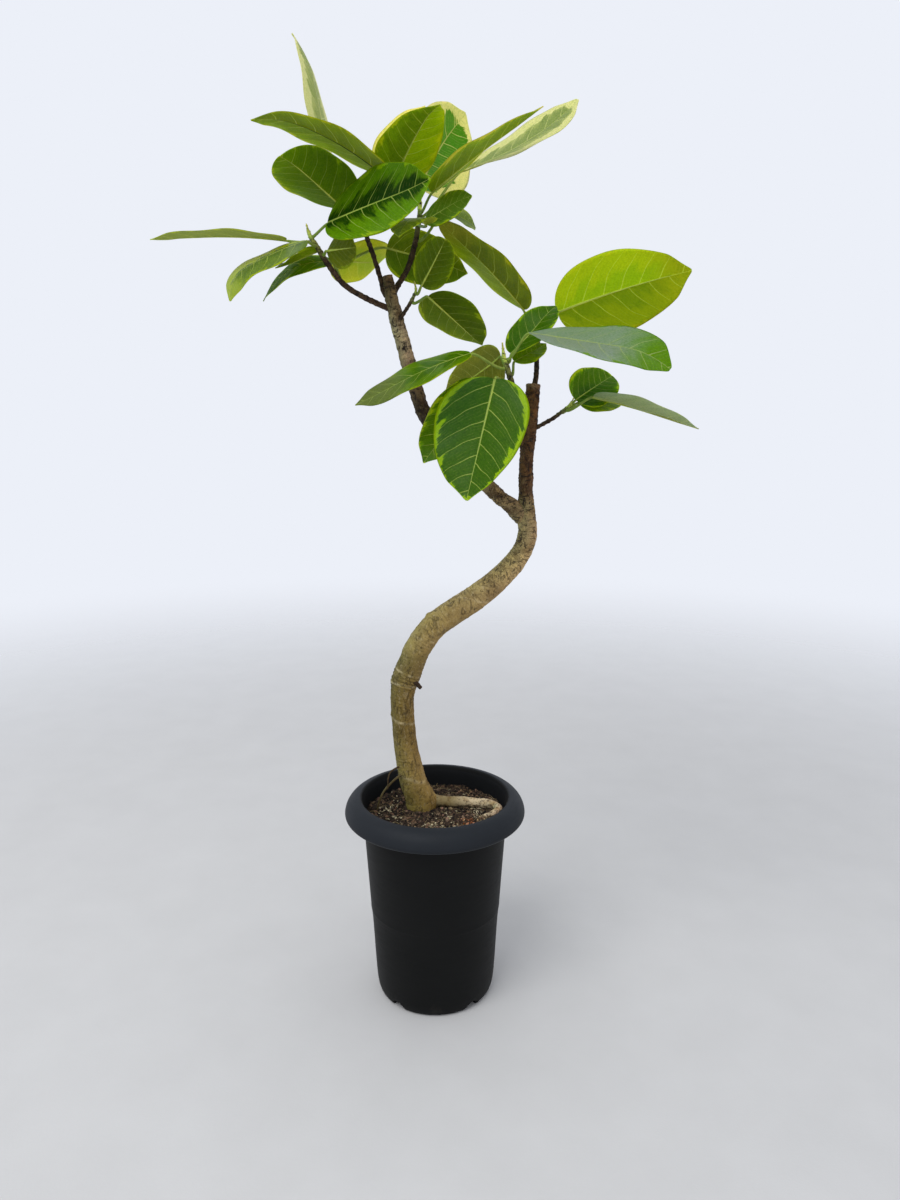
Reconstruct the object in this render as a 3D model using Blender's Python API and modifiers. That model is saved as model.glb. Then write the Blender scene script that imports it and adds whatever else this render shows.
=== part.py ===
"""A variegated council tree (Ficus altissima): an S-bent stem with two cut leaders
and thirty-three leaves, in a black nursery pot. Metres, +Z up, pot axis on Z, front
towards -Y."""

from math import cos, pi, radians

import bmesh
import bpy
import numpy as np
from mathutils import Matrix, Vector

MM = 0.001

# Driving dimensions, in metres.
POT_HEIGHT = 0.300
RIM_RADIUS = 0.1283
MOUTH_RADIUS = 0.1035
WALL_TOP_RADIUS = 0.1045
FOOT_RADIUS = 0.0845
FOOT_RECESS = 0.003
FLOOR_TOP = 0.006
NOTCH_WIDTH = 0.023
NOTCH_HEIGHT = 0.012
NOTCH_ANGLES = (50, 130, 230, 310)
ROUND_STEPS = 32
FIT_GAP = 0.0003
SOIL_TOP = 0.271
SOIL_LUMP = 0.002
STEM_FOOT = (-0.021, 0.026)
FOOT_HOLE_RADIUS = 0.0227
STEM_BURIED = 0.060
CHIP_COUNT = 14
BLADE_THICKNESS = 0.0009
STALK_GAP = 0.0006
STALK_FOOT = 1.5
STALK_EASE = 0.5
RIB_END = 0.85
MARGIN_WAVE = 0.010
SMALL_LEAF = 60

# The wood's centre lines: x, y, z and radius in millimetres.
STEM = (
    (-21, 26, 212, 22), (-21, 26, 271, 22), (-21, 26, 275, 24.5), (-22, 25, 282, 23.5),
    (-26, 22, 294, 21),
    (-32, 18, 313, 19), (-40, 12, 359, 17), (-44, 8, 402, 16), (-45, 4, 440, 16),
    (-42, 3, 463, 17.5), (-38, 2, 478, 18.8), (-30, 0, 497, 18), (-23, -1, 516, 18),
    (-1, -3, 547, 17.8), (28, -3, 568, 17.4), (55, -3, 586, 17), (89, -2, 615, 15.5),
    (113, 0, 642, 14), (125, 0, 672, 12.5), (123, 0, 703, 12.4), (122, 0, 727, 9.4),
    (122, 2, 759, 9.2), (124, 4, 791, 9.6), (128, 6, 836, 9.2), (130, 8, 869, 9.4),
)
LEFT_LEADER = (
    (121, 0, 692, 9), (108, -2, 708, 9.8), (88, -2, 723, 9.3), (70, 4, 738, 9.3),
    (28, 12, 771, 9.2), (-9, 14, 826, 9.4), (-22, 12, 859, 9.3), (-40, 8, 924, 9.5),
    (-53, 6, 974, 8.3), (-58, 6, 1003, 6),
)
TWIGS = {
    "left": (
        (-49, 7, 961, 3.8), (-63, 4, 966, 3.6), (-87, -4, 976, 3.5), (-111, -14, 990, 3.4),
        (-129, -26, 1012, 3.3), (-140, -34, 1030, 3.1), (-146, -36, 1039, 2.6),
        (-150, -36, 1047, 2.2), (-153, -35, 1058, 0.6),
    ),
    "upper": (
        (-57, 7, 978, 3.4), (-63, 8, 984, 3.2), (-67, 10, 1000, 3), (-77, 10, 1032, 3),
        (-84, 10, 1052, 3), (-85, 10, 1072, 3), (-80, 10, 1090, 2.8), (-74, 11, 1101, 2.3),
        (-70, 14, 1110, 0.6),
    ),
    "top": (
        (-55, 7, 974, 3.8), (-45, 18, 994, 3.5), (-33, 30, 1016, 3.5), (-24, 31, 1044, 3.4),
        (-19, 26, 1067, 3.2), (-17, 20, 1082, 2.8), (-16, 18, 1090, 2.2), (-15, 15, 1099, 0.6),
    ),
    "centre": (
        (-46, 5, 946, 2.6), (-35, -8, 959, 2.3), (-24, -19, 975, 2.1), (-21, -23, 983, 1.6),
        (-23, -24, 993, 0.6),
    ),
    "front": (
        (123, 6, 804, 4), (112, -12, 836, 3.8), (98, -36, 873, 3.7), (91, -45, 893, 3.1),
        (88, -47, 902, 2.4), (86, -48, 918, 0.6),
    ),
    "right": (
        (130, 8, 858, 3.6), (134, 10, 881, 3.3), (135, 20, 909, 3.2), (138, 33, 934, 3),
        (138, 38, 946, 2.4), (139, 42, 960, 0.6),
    ),
    "side": (
        (122, 4, 806, 3), (134, 4, 813, 2.6), (158, 0, 827, 2.5), (172, -2, 838, 2.3),
        (177, -3, 843, 1.8), (182, -5, 852, 0.6),
    ),
}
ROOTS = (
    ((-18, 26, 280, 9), (-1, 24, 279, 8.2), (30, 22, 278, 7.6), (64, 20, 277.5, 6.8),
     (86, 14, 277, 6), (91.5, 3, 276, 5.2), (80, -8, 275.2, 3.8)),
    ((-40, 9, 330, 1.6), (-50, 4, 326, 1.4), (-61, 0, 318, 1.3), (-73, -2, 304, 1.2),
     (-80, -2, 288, 1.2), (-83, 2, 274, 1.1)),
    ((-42, 9, 341, 1.6), (-53, 3, 339, 1.3), (-62, -3, 335, 1.2), (-66, -4, 326, 1.1),
     (-67, -4, 309, 0.8)),
    ((-38, -2, 473, 4.2), (-29, -9, 470, 3.8), (-20, -10, 463, 3.2)),
)

# One row a leaf: name, twig, height of its joint on the twig, blade base, blade tip and
# width in millimetres, then roll, droop, hook, fold and twist in degrees, the place of
# the widest part along the blade, and its colour.
LEAVES = (
    ("leaf_top_1", "top", 1086, (-17, 26, 1112), (43, 140, 1231), 112, 75, -20, -10, 15, -5, .45, "lime"),
    ("leaf_top_2", "top", 1081, (-1, -22, 1096), (130, -60, 1181), 98, 10, 10, -5, 8, -15, .4, "fresh"),
    ("leaf_top_3", "top", 1077, (36, 26, 1132), (182, 32, 1216), 102, 25, -25, -5, 5, -10, .55, "pale"),
    ("leaf_top_4", "top", 1075, (-9, -20, 1064), (48, -45, 1087), 44, 62, 5, 15, 0, -5, .45, "deep"),
    ("leaf_top_5", "top", 1068, (-8, -34, 1058), (-37, -100, 1031), 52, 0, 70, 0, 0, -10, .4, "deep"),
    ("leaf_top_6", "top", 1050, (16, 20, 1084), (55, 58, 1070), 36, 55, 10, 10, 10, -10, .45, "grey"),
    ("leaf_upper_1", "upper", 1086, (-52, 22, 1114), (-10, 36, 1210), 79, 40, 38, 0, 12, 0, .34, "lime"),
    ("leaf_upper_2", "upper", 1092, (-44, -17, 1116), (11, -97, 1171), 78, -5, 20, 25, 2, -15, .3, "fresh"),
    ("leaf_upper_3", "upper", 1098, (-58, -17, 1116), (-203, -96, 1156), 112, -5, 30, 15, 0, -15, .35, "fresh"),
    ("leaf_upper_4", "upper", 1062, (-110, -3, 1081), (-170, -102, 1117), 90, 15, 5, 10, 10, -30, .4, "deep"),
    ("leaf_upper_5", "upper", 1076, (-134, 31, 1135), (-181, 79, 1308), 90, 35, 15, 15, -5, 0, .35, "pale"),
    ("leaf_centre_1", "centre", 979, (-14, -29, 986), (16, -70, 1034), 50, -50, 15, 5, 15, -5, .4, "fresh"),
    ("leaf_centre_2", "centre", 970, (-6, -27, 975), (64, 37, 920), 76, -15, 0, 0, 5, -15, .4, "fresh"),
    ("leaf_left_1", "left", 1041, (-125, -54, 1055), (0, -117, 1090), 98, 65, 5, -10, 5, -30, .4, "deep"),
    ("leaf_left_2", "left", 1039, (-177, -36, 1039), (-332, -74, 1033), 96, -5, 15, -5, 5, -5, .45, "deep"),
    ("leaf_left_3", "left", 1033, (-151, -56, 1035), (-236, -94, 961), 80, -15, 15, 55, -5, -5, .5, "lime"),
    ("leaf_left_4", "left", 1016, (-127, -8, 1017), (-217, 5, 972), 62, -30, 80, -10, 0, -5, .4, "deep"),
    ("leaf_left_5", "left", 1026, (-141, -15, 1031), (-196, -18, 1009), 52, -5, 0, -10, 10, 20, .4, "deep"),
    ("leaf_left_6", "left", 1022, (-128, -42, 1025), (-88, -83, 1023), 46, -85, -10, 0, 20, -20, .4, "grey"),
    ("leaf_left_7", "left", 996, (-127, 8, 1025), (-66, 89, 1038), 76, -40, -25, -10, 0, -5, .45, "lime"),
    ("leaf_left_8", "left", 1004, (-61, 41, 1042), (46, 62, 1014), 68, -92, -15, -20, 4, 15, .35, "fresh"),
    ("leaf_front_1", "front", 866, (76, -80, 874), (41, -128, 731), 120, -15, 0, 0, 15, -15, .4, "deep"),
    ("leaf_front_2", "front", 872, (56, -49, 873), (-12, -56, 771), 80, -40, -10, 0, 10, 0, .45, "deep"),
    ("leaf_front_3", "front", 882, (85, -31, 902), (15, 26, 857), 66, 85, 40, -5, 15, 5, .45, "grey"),
    ("leaf_front_4", "front", 889, (47, -68, 904), (-95, -69, 842), 92, -20, 20, -10, 0, 5, .45, "lime"),
    ("leaf_front_5", "front", 893, (97, -44, 905), (155, -16, 964), 58, 25, -15, 20, 10, -10, .45, "deep"),
    ("leaf_front_6", "front", 877, (102, -35, 896), (144, -10, 919), 38, 35, 5, -10, 10, 15, .4, "deep"),
    ("leaf_front_7", "front", 897, (117, -67, 928), (275, -134, 882), 98, 25, 0, 30, 5, -20, .55, "grey"),
    ("leaf_right_1", "right", 934, (120, 50, 966), (6, -18, 1068), 104, -5, 15, -10, 5, 0, .45, "fresh"),
    ("leaf_right_2", "right", 942, (161, 29, 961), (320, -29, 1005), 114, -55, 20, 0, -5, 5, .4, "lime"),
    ("leaf_side_1", "side", 841, (185, 3, 849), (238, 40, 881), 64, 45, 10, -5, 10, 10, .45, "deep"),
    ("leaf_side_2", "side", 838, (204, -19, 853), (335, -46, 813), 84, 10, 10, -5, 10, 5, .45, "grey"),
    ("leaf_side_3", "side", 834, (189, 7, 846), (249, 37, 848), 48, 45, 10, 5, 10, 5, .4, "deep"),
)
LEAF_COLOURS = {
    "deep": (0.045, 0.12, 0.02),
    "fresh": (0.22, 0.36, 0.04),
    "lime": (0.45, 0.55, 0.06),
    "pale": (0.60, 0.66, 0.28),
    "grey": (0.16, 0.22, 0.11),
}


for old in list(bpy.data.objects):
    bpy.data.objects.remove(old)
plant = bpy.data.collections.new("potted_council_tree")
bpy.context.scene.collection.children.link(plant)
cutters = bpy.data.collections.new("cutters")
cutters.hide_render = True
bpy.context.scene.collection.children.link(cutters)


def colour(obj, rgb, roughness):
    material = bpy.data.materials.new(obj.name)
    material.use_nodes = True
    shader = material.node_tree.nodes["Principled BSDF"]
    shader.inputs["Base Color"].default_value = (*rgb, 1)
    shader.inputs["Roughness"].default_value = roughness
    material.diffuse_color = (*rgb, 1)
    obj.data.materials.clear()
    obj.data.materials.append(material)


def add(name, mesh, collection):
    obj = bpy.data.objects.new(name, mesh)
    collection.objects.link(obj)
    return obj


def settled(obj):
    """The object with its modifiers worked into its mesh."""
    bpy.context.view_layer.update()
    graph = bpy.context.evaluated_depsgraph_get()
    mesh = bpy.data.meshes.new_from_object(obj.evaluated_get(graph))
    solid = add(obj.name + "_solid", mesh, obj.users_collection[0])
    solid.matrix_world = obj.matrix_world
    bpy.data.objects.remove(obj)
    return solid


def clean(obj, distance=1e-6):
    """Joins points that lie together and turns the faces outwards."""
    shape = bmesh.new()
    shape.from_mesh(obj.data)
    bmesh.ops.remove_doubles(shape, verts=shape.verts, dist=distance)
    bmesh.ops.recalc_face_normals(shape, faces=shape.faces)
    shape.to_mesh(obj.data)
    shape.free()
    return obj


def fused(name, first, others, operation="UNION"):
    """One solid from a first one and a list of others."""
    group = bpy.data.collections.new("repeats")
    bpy.context.scene.collection.children.link(group)
    for other in others:
        for holder in list(other.users_collection):
            holder.objects.unlink(other)
        group.objects.link(other)
    step = first.modifiers.new("join", "BOOLEAN")
    step.operation = operation
    step.operand_type = "COLLECTION"
    step.collection = group
    step.solver = "EXACT"
    solid = settled(first)
    for other in list(group.objects):
        bpy.data.objects.remove(other)
    bpy.data.collections.remove(group)
    solid.name = name
    return solid


def smooth_path(points, per_span):
    """Points on a smooth line through the given rows of x, y, z and radius."""
    rows = np.array(points, float)
    ends = np.vstack([2 * rows[0] - rows[1], rows, 2 * rows[-1] - rows[-2]])
    path = []
    for i in range(len(rows) - 1):
        a, b, c, d = ends[i:i + 4]
        for t in np.arange(per_span) / per_span:
            path.append(
                0.5 * (2 * b + (c - a) * t + (2 * a - 5 * b + 4 * c - d) * t ** 2
                       + (3 * b - a - 3 * c + d) * t ** 3)
            )
    path.append(rows[-1])
    return np.array(path)


def tube(name, path, resolution):
    """A round tube along rows of x, y, z and radius in millimetres."""
    data = bpy.data.curves.new(name, "CURVE")
    data.dimensions = "3D"
    data.bevel_depth = MM
    data.bevel_resolution = resolution
    data.use_fill_caps = True
    line = data.splines.new("POLY")
    line.points.add(len(path) - 1)
    for point, (x, y, z, radius) in zip(line.points, path):
        point.co = (x * MM, y * MM, z * MM, 1)
        point.radius = radius
    return clean(settled(add(name, data, plant)))


def turned(name, profile, steps):
    """A profile of radius and height turned about the pot's axis."""
    mesh = bpy.data.meshes.new(name)
    shape = bmesh.new()
    points = [shape.verts.new((radius, 0, height)) for radius, height in profile]
    for start, end in zip(points, points[1:]):
        shape.edges.new((start, end))
    if profile[0][0] > 0:
        shape.edges.new((points[-1], points[0]))
    shape.to_mesh(mesh)
    shape.free()
    obj = add(name, mesh, plant)
    screw = obj.modifiers.new("turn", "SCREW")
    screw.steps = steps
    screw.render_steps = steps
    screw.use_merge_vertices = True
    screw.merge_threshold = 1e-6
    return clean(settled(obj))


# Pot: outer side from the rim's crest down, the foot's underside, then up the inside.
pot = turned(
    "pot",
    (
        (0.1066, POT_HEIGHT), (0.1140, 0.2985), (0.1205, 0.2945), (0.1258, 0.2875),
        (RIM_RADIUS, 0.2785), (0.1274, 0.2735), (0.1245, 0.2712), (0.1236, 0.2720),
        (0.1248, 0.2745), (0.1257, 0.2785), (0.1235, 0.2858), (0.1180, 0.2925),
        (0.1080, 0.2965), (WALL_TOP_RADIUS, 0.2940), (0.1015, 0.2470),
        (0.1024, 0.2450), (0.1024, 0.2410), (0.1005, 0.2390), (0.0935, 0.1350),
        (0.0946, 0.1325), (0.0930, 0.1300), (0.0910, 0.1100), (0.0870, 0.0300),
        (FOOT_RADIUS, 0.0090), (0.0800, 0), (0.0700, 0), (0.0680, FOOT_RECESS),
        (0.0235, FOOT_RECESS), (0.0215, 0), (0, 0), (0, FLOOR_TOP),
        (0.0765, FLOOR_TOP), (0.0815, 0.0120), (0.0845, 0.0300), (0.0885, 0.1100),
        (0.0908, 0.1320), (0.0975, 0.2270), (0.1015, 0.2880), (MOUTH_RADIUS, 0.2960),
        (0.1048, 0.2990),
    ),
    ROUND_STEPS,
)
notches = []
for angle in NOTCH_ANGLES:
    mesh = bpy.data.meshes.new("notch")
    shape = bmesh.new()
    bmesh.ops.create_cone(
        shape, cap_ends=True, segments=20, radius1=NOTCH_WIDTH / 2,
        radius2=NOTCH_WIDTH / 2, depth=0.018,
        matrix=Matrix.Rotation(radians(angle - 90), 4, "Z")
        @ Matrix.Translation((FOOT_RADIUS + 0.0005, 0, 0)) @ Matrix.Rotation(pi / 2, 4, "Y"),
    )
    bmesh.ops.scale(shape, verts=shape.verts, vec=(1, 1, NOTCH_HEIGHT / (NOTCH_WIDTH / 2)))
    shape.to_mesh(mesh)
    shape.free()
    notch = add("notch", mesh, cutters)
    notch.display_type = "WIRE"
    notches.append(notch)
pot = fused("pot", pot, notches, "DIFFERENCE")
colour(pot, (0.012, 0.012, 0.014), 0.5)

# Soil: fills the pot to a lumpy top, flat round the stem's foot and under the root.
soil = turned(
    "soil",
    (
        (0, SOIL_TOP), (0.018, SOIL_TOP), (0.036, SOIL_TOP), (0.054, SOIL_TOP),
        (0.071, SOIL_TOP), (0.086, SOIL_TOP), (0.0998, SOIL_TOP), (0.0972, 0.2270),
        (0.0905, 0.1320), (0.0882, 0.1100), (0.0842, 0.0300), (0.0810, 0.0122),
        (0.0763, FLOOR_TOP + FIT_GAP), (0, FLOOR_TOP + FIT_GAP),
    ),
    ROUND_STEPS,
)
co = np.empty(len(soil.data.vertices) * 3)
soil.data.vertices.foreach_get("co", co)
co = co.reshape(-1, 3)
x, y = co[:, 0], co[:, 1]
lumps = np.sin(95 * x + 1.3) * np.cos(110 * y - 0.4) + 0.5 * np.sin(210 * x - 170 * y)
root = np.array(ROOTS[0])[:, :2] * MM
near = np.min(np.hypot(x[:, None] - root[:, 0], y[:, None] - root[:, 1]), axis=1)
from_foot = np.hypot(x - STEM_FOOT[0], y - STEM_FOOT[1])
free = np.clip((np.minimum(near, from_foot) - 0.028) / 0.02, 0, 1)
co[:, 2] += np.where(co[:, 2] > SOIL_TOP - 1e-6, SOIL_LUMP * lumps * free, 0)
soil.data.vertices.foreach_set("co", co.ravel())
draw = np.random.default_rng(13)
chips = []
while len(chips) < CHIP_COUNT:
    angle, radius = draw.uniform(0, 2 * pi), 0.09 * draw.uniform(0.1, 1) ** 0.5
    place = np.array([radius * cos(angle), radius * np.sin(angle)])
    clear = np.hypot(*(root - place).T).min() > 0.026
    if not clear or np.hypot(*(place - STEM_FOOT)) < 0.045:
        continue
    mesh = bpy.data.meshes.new("chip")
    shape = bmesh.new()
    size = draw.uniform(0.006, 0.012)
    bmesh.ops.create_cone(
        shape, cap_ends=True, segments=5, radius1=size / 2, radius2=size / 3,
        depth=0.006,
        matrix=Matrix.Translation((place[0], place[1], SOIL_TOP + 0.001))
        @ Matrix.Rotation(draw.uniform(0, pi), 4, "Z")
        @ Matrix.Rotation(draw.uniform(-0.4, 0.4), 4, "X") @ Matrix.Diagonal((1.4, 0.8, 1, 1)),
    )
    shape.to_mesh(mesh)
    shape.free()
    chips.append(add("chip", mesh, plant))
soil = fused("soil", soil, chips)
mesh = bpy.data.meshes.new("foot_hole")
shape = bmesh.new()
bmesh.ops.create_cone(
    shape, cap_ends=True, segments=32, radius1=FOOT_HOLE_RADIUS, radius2=FOOT_HOLE_RADIUS,
    depth=2 * (STEM_BURIED + FIT_GAP),
    matrix=Matrix.Translation((*STEM_FOOT, SOIL_TOP)),
)
shape.to_mesh(mesh)
shape.free()
hole = add("foot_hole", mesh, cutters)
hole.display_type = "WIRE"
soil = fused("soil", soil, [hole], "DIFFERENCE")
colour(soil, (0.06, 0.035, 0.02), 0.95)

# Trunk: stem and right leader as one line, the left leader, twigs with buds, and roots.
stem = tube("stem", np.vstack([STEM[:2], smooth_path(STEM[2:], 2)]), 3)
twig_lines = {name: smooth_path(points, 2) for name, points in TWIGS.items()}
limbs = [tube("leader", smooth_path(LEFT_LEADER, 2), 3)]
limbs += [tube("twig", line, 1) for line in twig_lines.values()]
limbs += [tube("root", smooth_path(points, 2), 1) for points in ROOTS]
trunk = fused("trunk", stem, limbs)
colour(trunk, (0.20, 0.14, 0.08), 0.8)


def half_width(u, widest):
    """Half the blade's width along u, 0 at the base and 1 at the tip, widest as 1."""
    bulge = (u / widest) ** (1.15 * widest) * ((1 - u) / (1 - widest)) ** (1.15 * (1 - widest))
    point = np.clip((u - 0.8) / 0.2, 0, 1)
    return bulge * (1 - 0.45 * point ** 2 * (3 - 2 * point))


def bend(u, droop, hook):
    """The blade's downward turn at u: even droop, and a hook in the last stretch."""
    last = np.clip((u - 0.6) / 0.4, 0, 1)
    return -(droop * u + hook * last ** 2 * (3 - 2 * last))


def blade_frame(u, base, tip, roll, droop, hook, twist):
    """Midrib point, side, top and forward directions at each u, in millimetres."""
    chord = tip - base
    along = chord / np.linalg.norm(chord)
    up = np.array([0, 0, 1.0]) - along[2] * along
    up /= np.linalg.norm(up)
    across = np.cross(along, up)
    up = cos(roll) * up + np.sin(roll) * across
    across = np.cross(along, up)
    fine = np.linspace(0, 1, 201)
    angle = bend((fine[1:] + fine[:-1]) / 2, droop, hook)
    run = np.concatenate([[0], np.cumsum(np.cos(angle))]) / 200
    rise = np.concatenate([[0], np.cumsum(np.sin(angle))]) / 200
    turn = np.arctan2(rise[-1], run[-1])
    size = np.linalg.norm(chord) / np.hypot(run[-1], rise[-1])
    run, rise = np.interp(u, fine, run), np.interp(u, fine, rise)
    ahead = (run * cos(turn) + rise * np.sin(turn)) * size
    lift = (rise * cos(turn) - run * np.sin(turn)) * size
    angle = bend(u, droop, hook) - turn
    middle = base + ahead[:, None] * along + lift[:, None] * up
    normal = np.cos(angle)[:, None] * up - np.sin(angle)[:, None] * along
    forward = np.cos(angle)[:, None] * along + np.sin(angle)[:, None] * up
    spin = (twist * (u - 0.5))[:, None]
    side = np.cos(spin) * across + np.sin(spin) * normal
    top = np.cos(spin) * normal - np.sin(spin) * across
    return middle, side, top, forward


def joint_on(twig, height):
    """Centre, direction and radius of a twig at a height."""
    line = twig_lines[twig]
    here = np.array([np.interp(height, line[:, 2], line[:, k]) for k in range(4)])
    ahead = np.array([np.interp(height + 4, line[:, 2], line[:, k]) for k in range(3)])
    direction = ahead - here[:3]
    return here[:3], direction / np.linalg.norm(direction), here[3]


def leaf(name, twig, height, base, tip, width, roll, droop, hook, fold, twist, widest, hue):
    base, tip = np.array(base, float), np.array(tip, float)
    roll, droop, hook, fold, twist = np.radians([roll, droop, hook, fold, twist])
    shape = bmesh.new()
    rows = 8 if width > SMALL_LEAF else 6
    bmesh.ops.create_grid(shape, x_segments=rows, y_segments=4, size=1)
    grid = np.array([vert.co[:2] for vert in shape.verts])
    u = (1 - np.cos((grid[:, 0] + 1) / 2 * pi)) / 2 * 0.993 + 0.004
    v = grid[:, 1]
    middle, side, top, _ = blade_frame(u, base, tip, roll, droop, hook, twist)
    half = np.maximum(width / 2 * half_width(u, widest), 0.8)
    phase = base[0] * 0.1 + 2 * (v > 0)
    wave = width * MARGIN_WAVE * np.sin(5 * pi * u + phase) * v ** 2
    place = middle + (half * v * cos(fold))[:, None] * side
    place += (half * np.abs(v) * np.sin(fold) + wave)[:, None] * top
    for vert, point in zip(shape.verts, place):
        vert.co = Vector(point * MM)
    bmesh.ops.triangulate(shape, faces=shape.faces)
    mesh = bpy.data.meshes.new(name)
    shape.to_mesh(mesh)
    shape.free()
    blade = add(name, mesh, plant)
    skin = blade.modifiers.new("skin", "SOLIDIFY")
    skin.thickness = BLADE_THICKNESS
    skin.offset = 0
    blade = clean(settled(blade))

    # The stalk leaves the twig square to it and runs on under the blade as its midrib.
    u = np.array([0, 0.15, 0.38, 0.62, RIB_END])
    middle, side, top, forward = blade_frame(u, base, tip, roll, droop, hook, twist)
    radius = np.interp(u, [0, RIB_END], [1.5, 0.6])
    rib = np.column_stack([middle - (radius - 0.2)[:, None] * top, radius])
    centre, direction, twig_radius = joint_on(twig, height)
    away = rib[0, :3] - centre
    away -= (away @ direction) * direction
    away /= np.linalg.norm(away)
    foot = centre + away * (twig_radius + STALK_GAP / MM)
    start = foot + away * STALK_FOOT
    reach = np.linalg.norm(rib[0, :3] - start) / 3
    t = np.linspace(0, 1, 3 + int(reach / 8))[:-1, None]
    stalk = (
        (1 - t) ** 3 * start + 3 * (1 - t) ** 2 * t * (start + away * reach)
        + 3 * (1 - t) * t ** 2 * (rib[0, :3] - forward[0] * reach * STALK_EASE) + t ** 3 * rib[0, :3]
    )
    thick = 1.9 - 0.4 * t
    line = np.vstack([[*foot, 1.9], np.hstack([stalk, thick]), rib])
    solid = fused(name, blade, [tube("stalk", line, 1)])
    colour(solid, LEAF_COLOURS[hue], 0.45)


for row in LEAVES:
    leaf(*row)
for mesh in list(bpy.data.meshes):
    if not mesh.users:
        bpy.data.meshes.remove(mesh)
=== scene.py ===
"""A potted council tree (variegated Ficus altissima), dressed for its picture.
The solids give every place and size, and this script gives bark, soil, plastic and leaves."""

from functools import partialmethod
from math import cos, pi, radians, sin

import bpy
import numpy as np
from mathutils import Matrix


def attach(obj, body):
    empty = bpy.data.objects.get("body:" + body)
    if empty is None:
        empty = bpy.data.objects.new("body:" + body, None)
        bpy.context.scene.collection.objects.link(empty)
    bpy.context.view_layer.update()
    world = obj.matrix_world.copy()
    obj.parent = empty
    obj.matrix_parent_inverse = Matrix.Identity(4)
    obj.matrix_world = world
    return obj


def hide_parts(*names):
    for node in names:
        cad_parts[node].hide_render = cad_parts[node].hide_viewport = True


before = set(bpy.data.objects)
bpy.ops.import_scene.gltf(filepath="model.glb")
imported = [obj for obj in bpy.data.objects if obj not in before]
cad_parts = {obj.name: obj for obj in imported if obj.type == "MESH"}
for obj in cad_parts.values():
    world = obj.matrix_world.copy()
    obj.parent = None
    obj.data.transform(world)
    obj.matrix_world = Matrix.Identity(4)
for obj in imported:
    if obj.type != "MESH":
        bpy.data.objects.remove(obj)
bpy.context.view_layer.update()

# Camera: a hand-held camera 1.2 m in front of the pot's axis, at the height of the middle
# leaves and tilted down, as the ellipses of the pot's rim and foot show it.
CAMERA_PLACE = (0.0215, -1.2, 0.8406)
CAMERA_TILT = 77.89
LENS_LENGTH = 27.03
NEAREST_SEEN = 0.05


def placed(name, data):
    """An object that holds the data, put into the scene."""
    obj = bpy.data.objects.new(name, data)
    bpy.context.scene.collection.objects.link(obj)
    return obj


lens = bpy.data.cameras.new("camera")
lens.lens = LENS_LENGTH
lens.clip_start = NEAREST_SEEN
camera = placed("camera", lens)
camera.location = CAMERA_PLACE
camera.rotation_euler = (radians(CAMERA_TILT), 0, 0)
bpy.context.scene.camera = camera

# Light: an open sky that is pale and bluish on all sides, and one broad soft lamp above
# and in front, a little to the left, which gives the leaves their sheen.
SKY_COLOUR = (0.84, 0.87, 0.94, 1)
SKY_STRENGTH = 1.0
LAMP_PLACE = (-1.3, -1.9, 3.4)
LAMP_AIM = (0.02, 0, 0.8)
LAMP_SIZE = 2.2
LAMP_POWER = 75

bpy.context.scene.view_settings.view_transform = "Standard"
sky = bpy.data.worlds.new("sky")
sky.use_nodes = True
sky_inputs = sky.node_tree.nodes["Background"].inputs
sky_inputs["Color"].default_value = SKY_COLOUR
sky_inputs["Strength"].default_value = SKY_STRENGTH
bpy.context.scene.world = sky
lamp_data = bpy.data.lights.new("lamp", "AREA")
lamp_data.size = LAMP_SIZE
lamp_data.energy = LAMP_POWER
lamp = placed("lamp", lamp_data)
lamp.location = LAMP_PLACE
aim = np.array(LAMP_AIM) - np.array(LAMP_PLACE)
lamp_tip = np.arctan2(np.hypot(aim[0], aim[1]), -aim[2])
lamp.rotation_euler = (lamp_tip, 0, np.arctan2(-aim[0], aim[1]))


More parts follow.
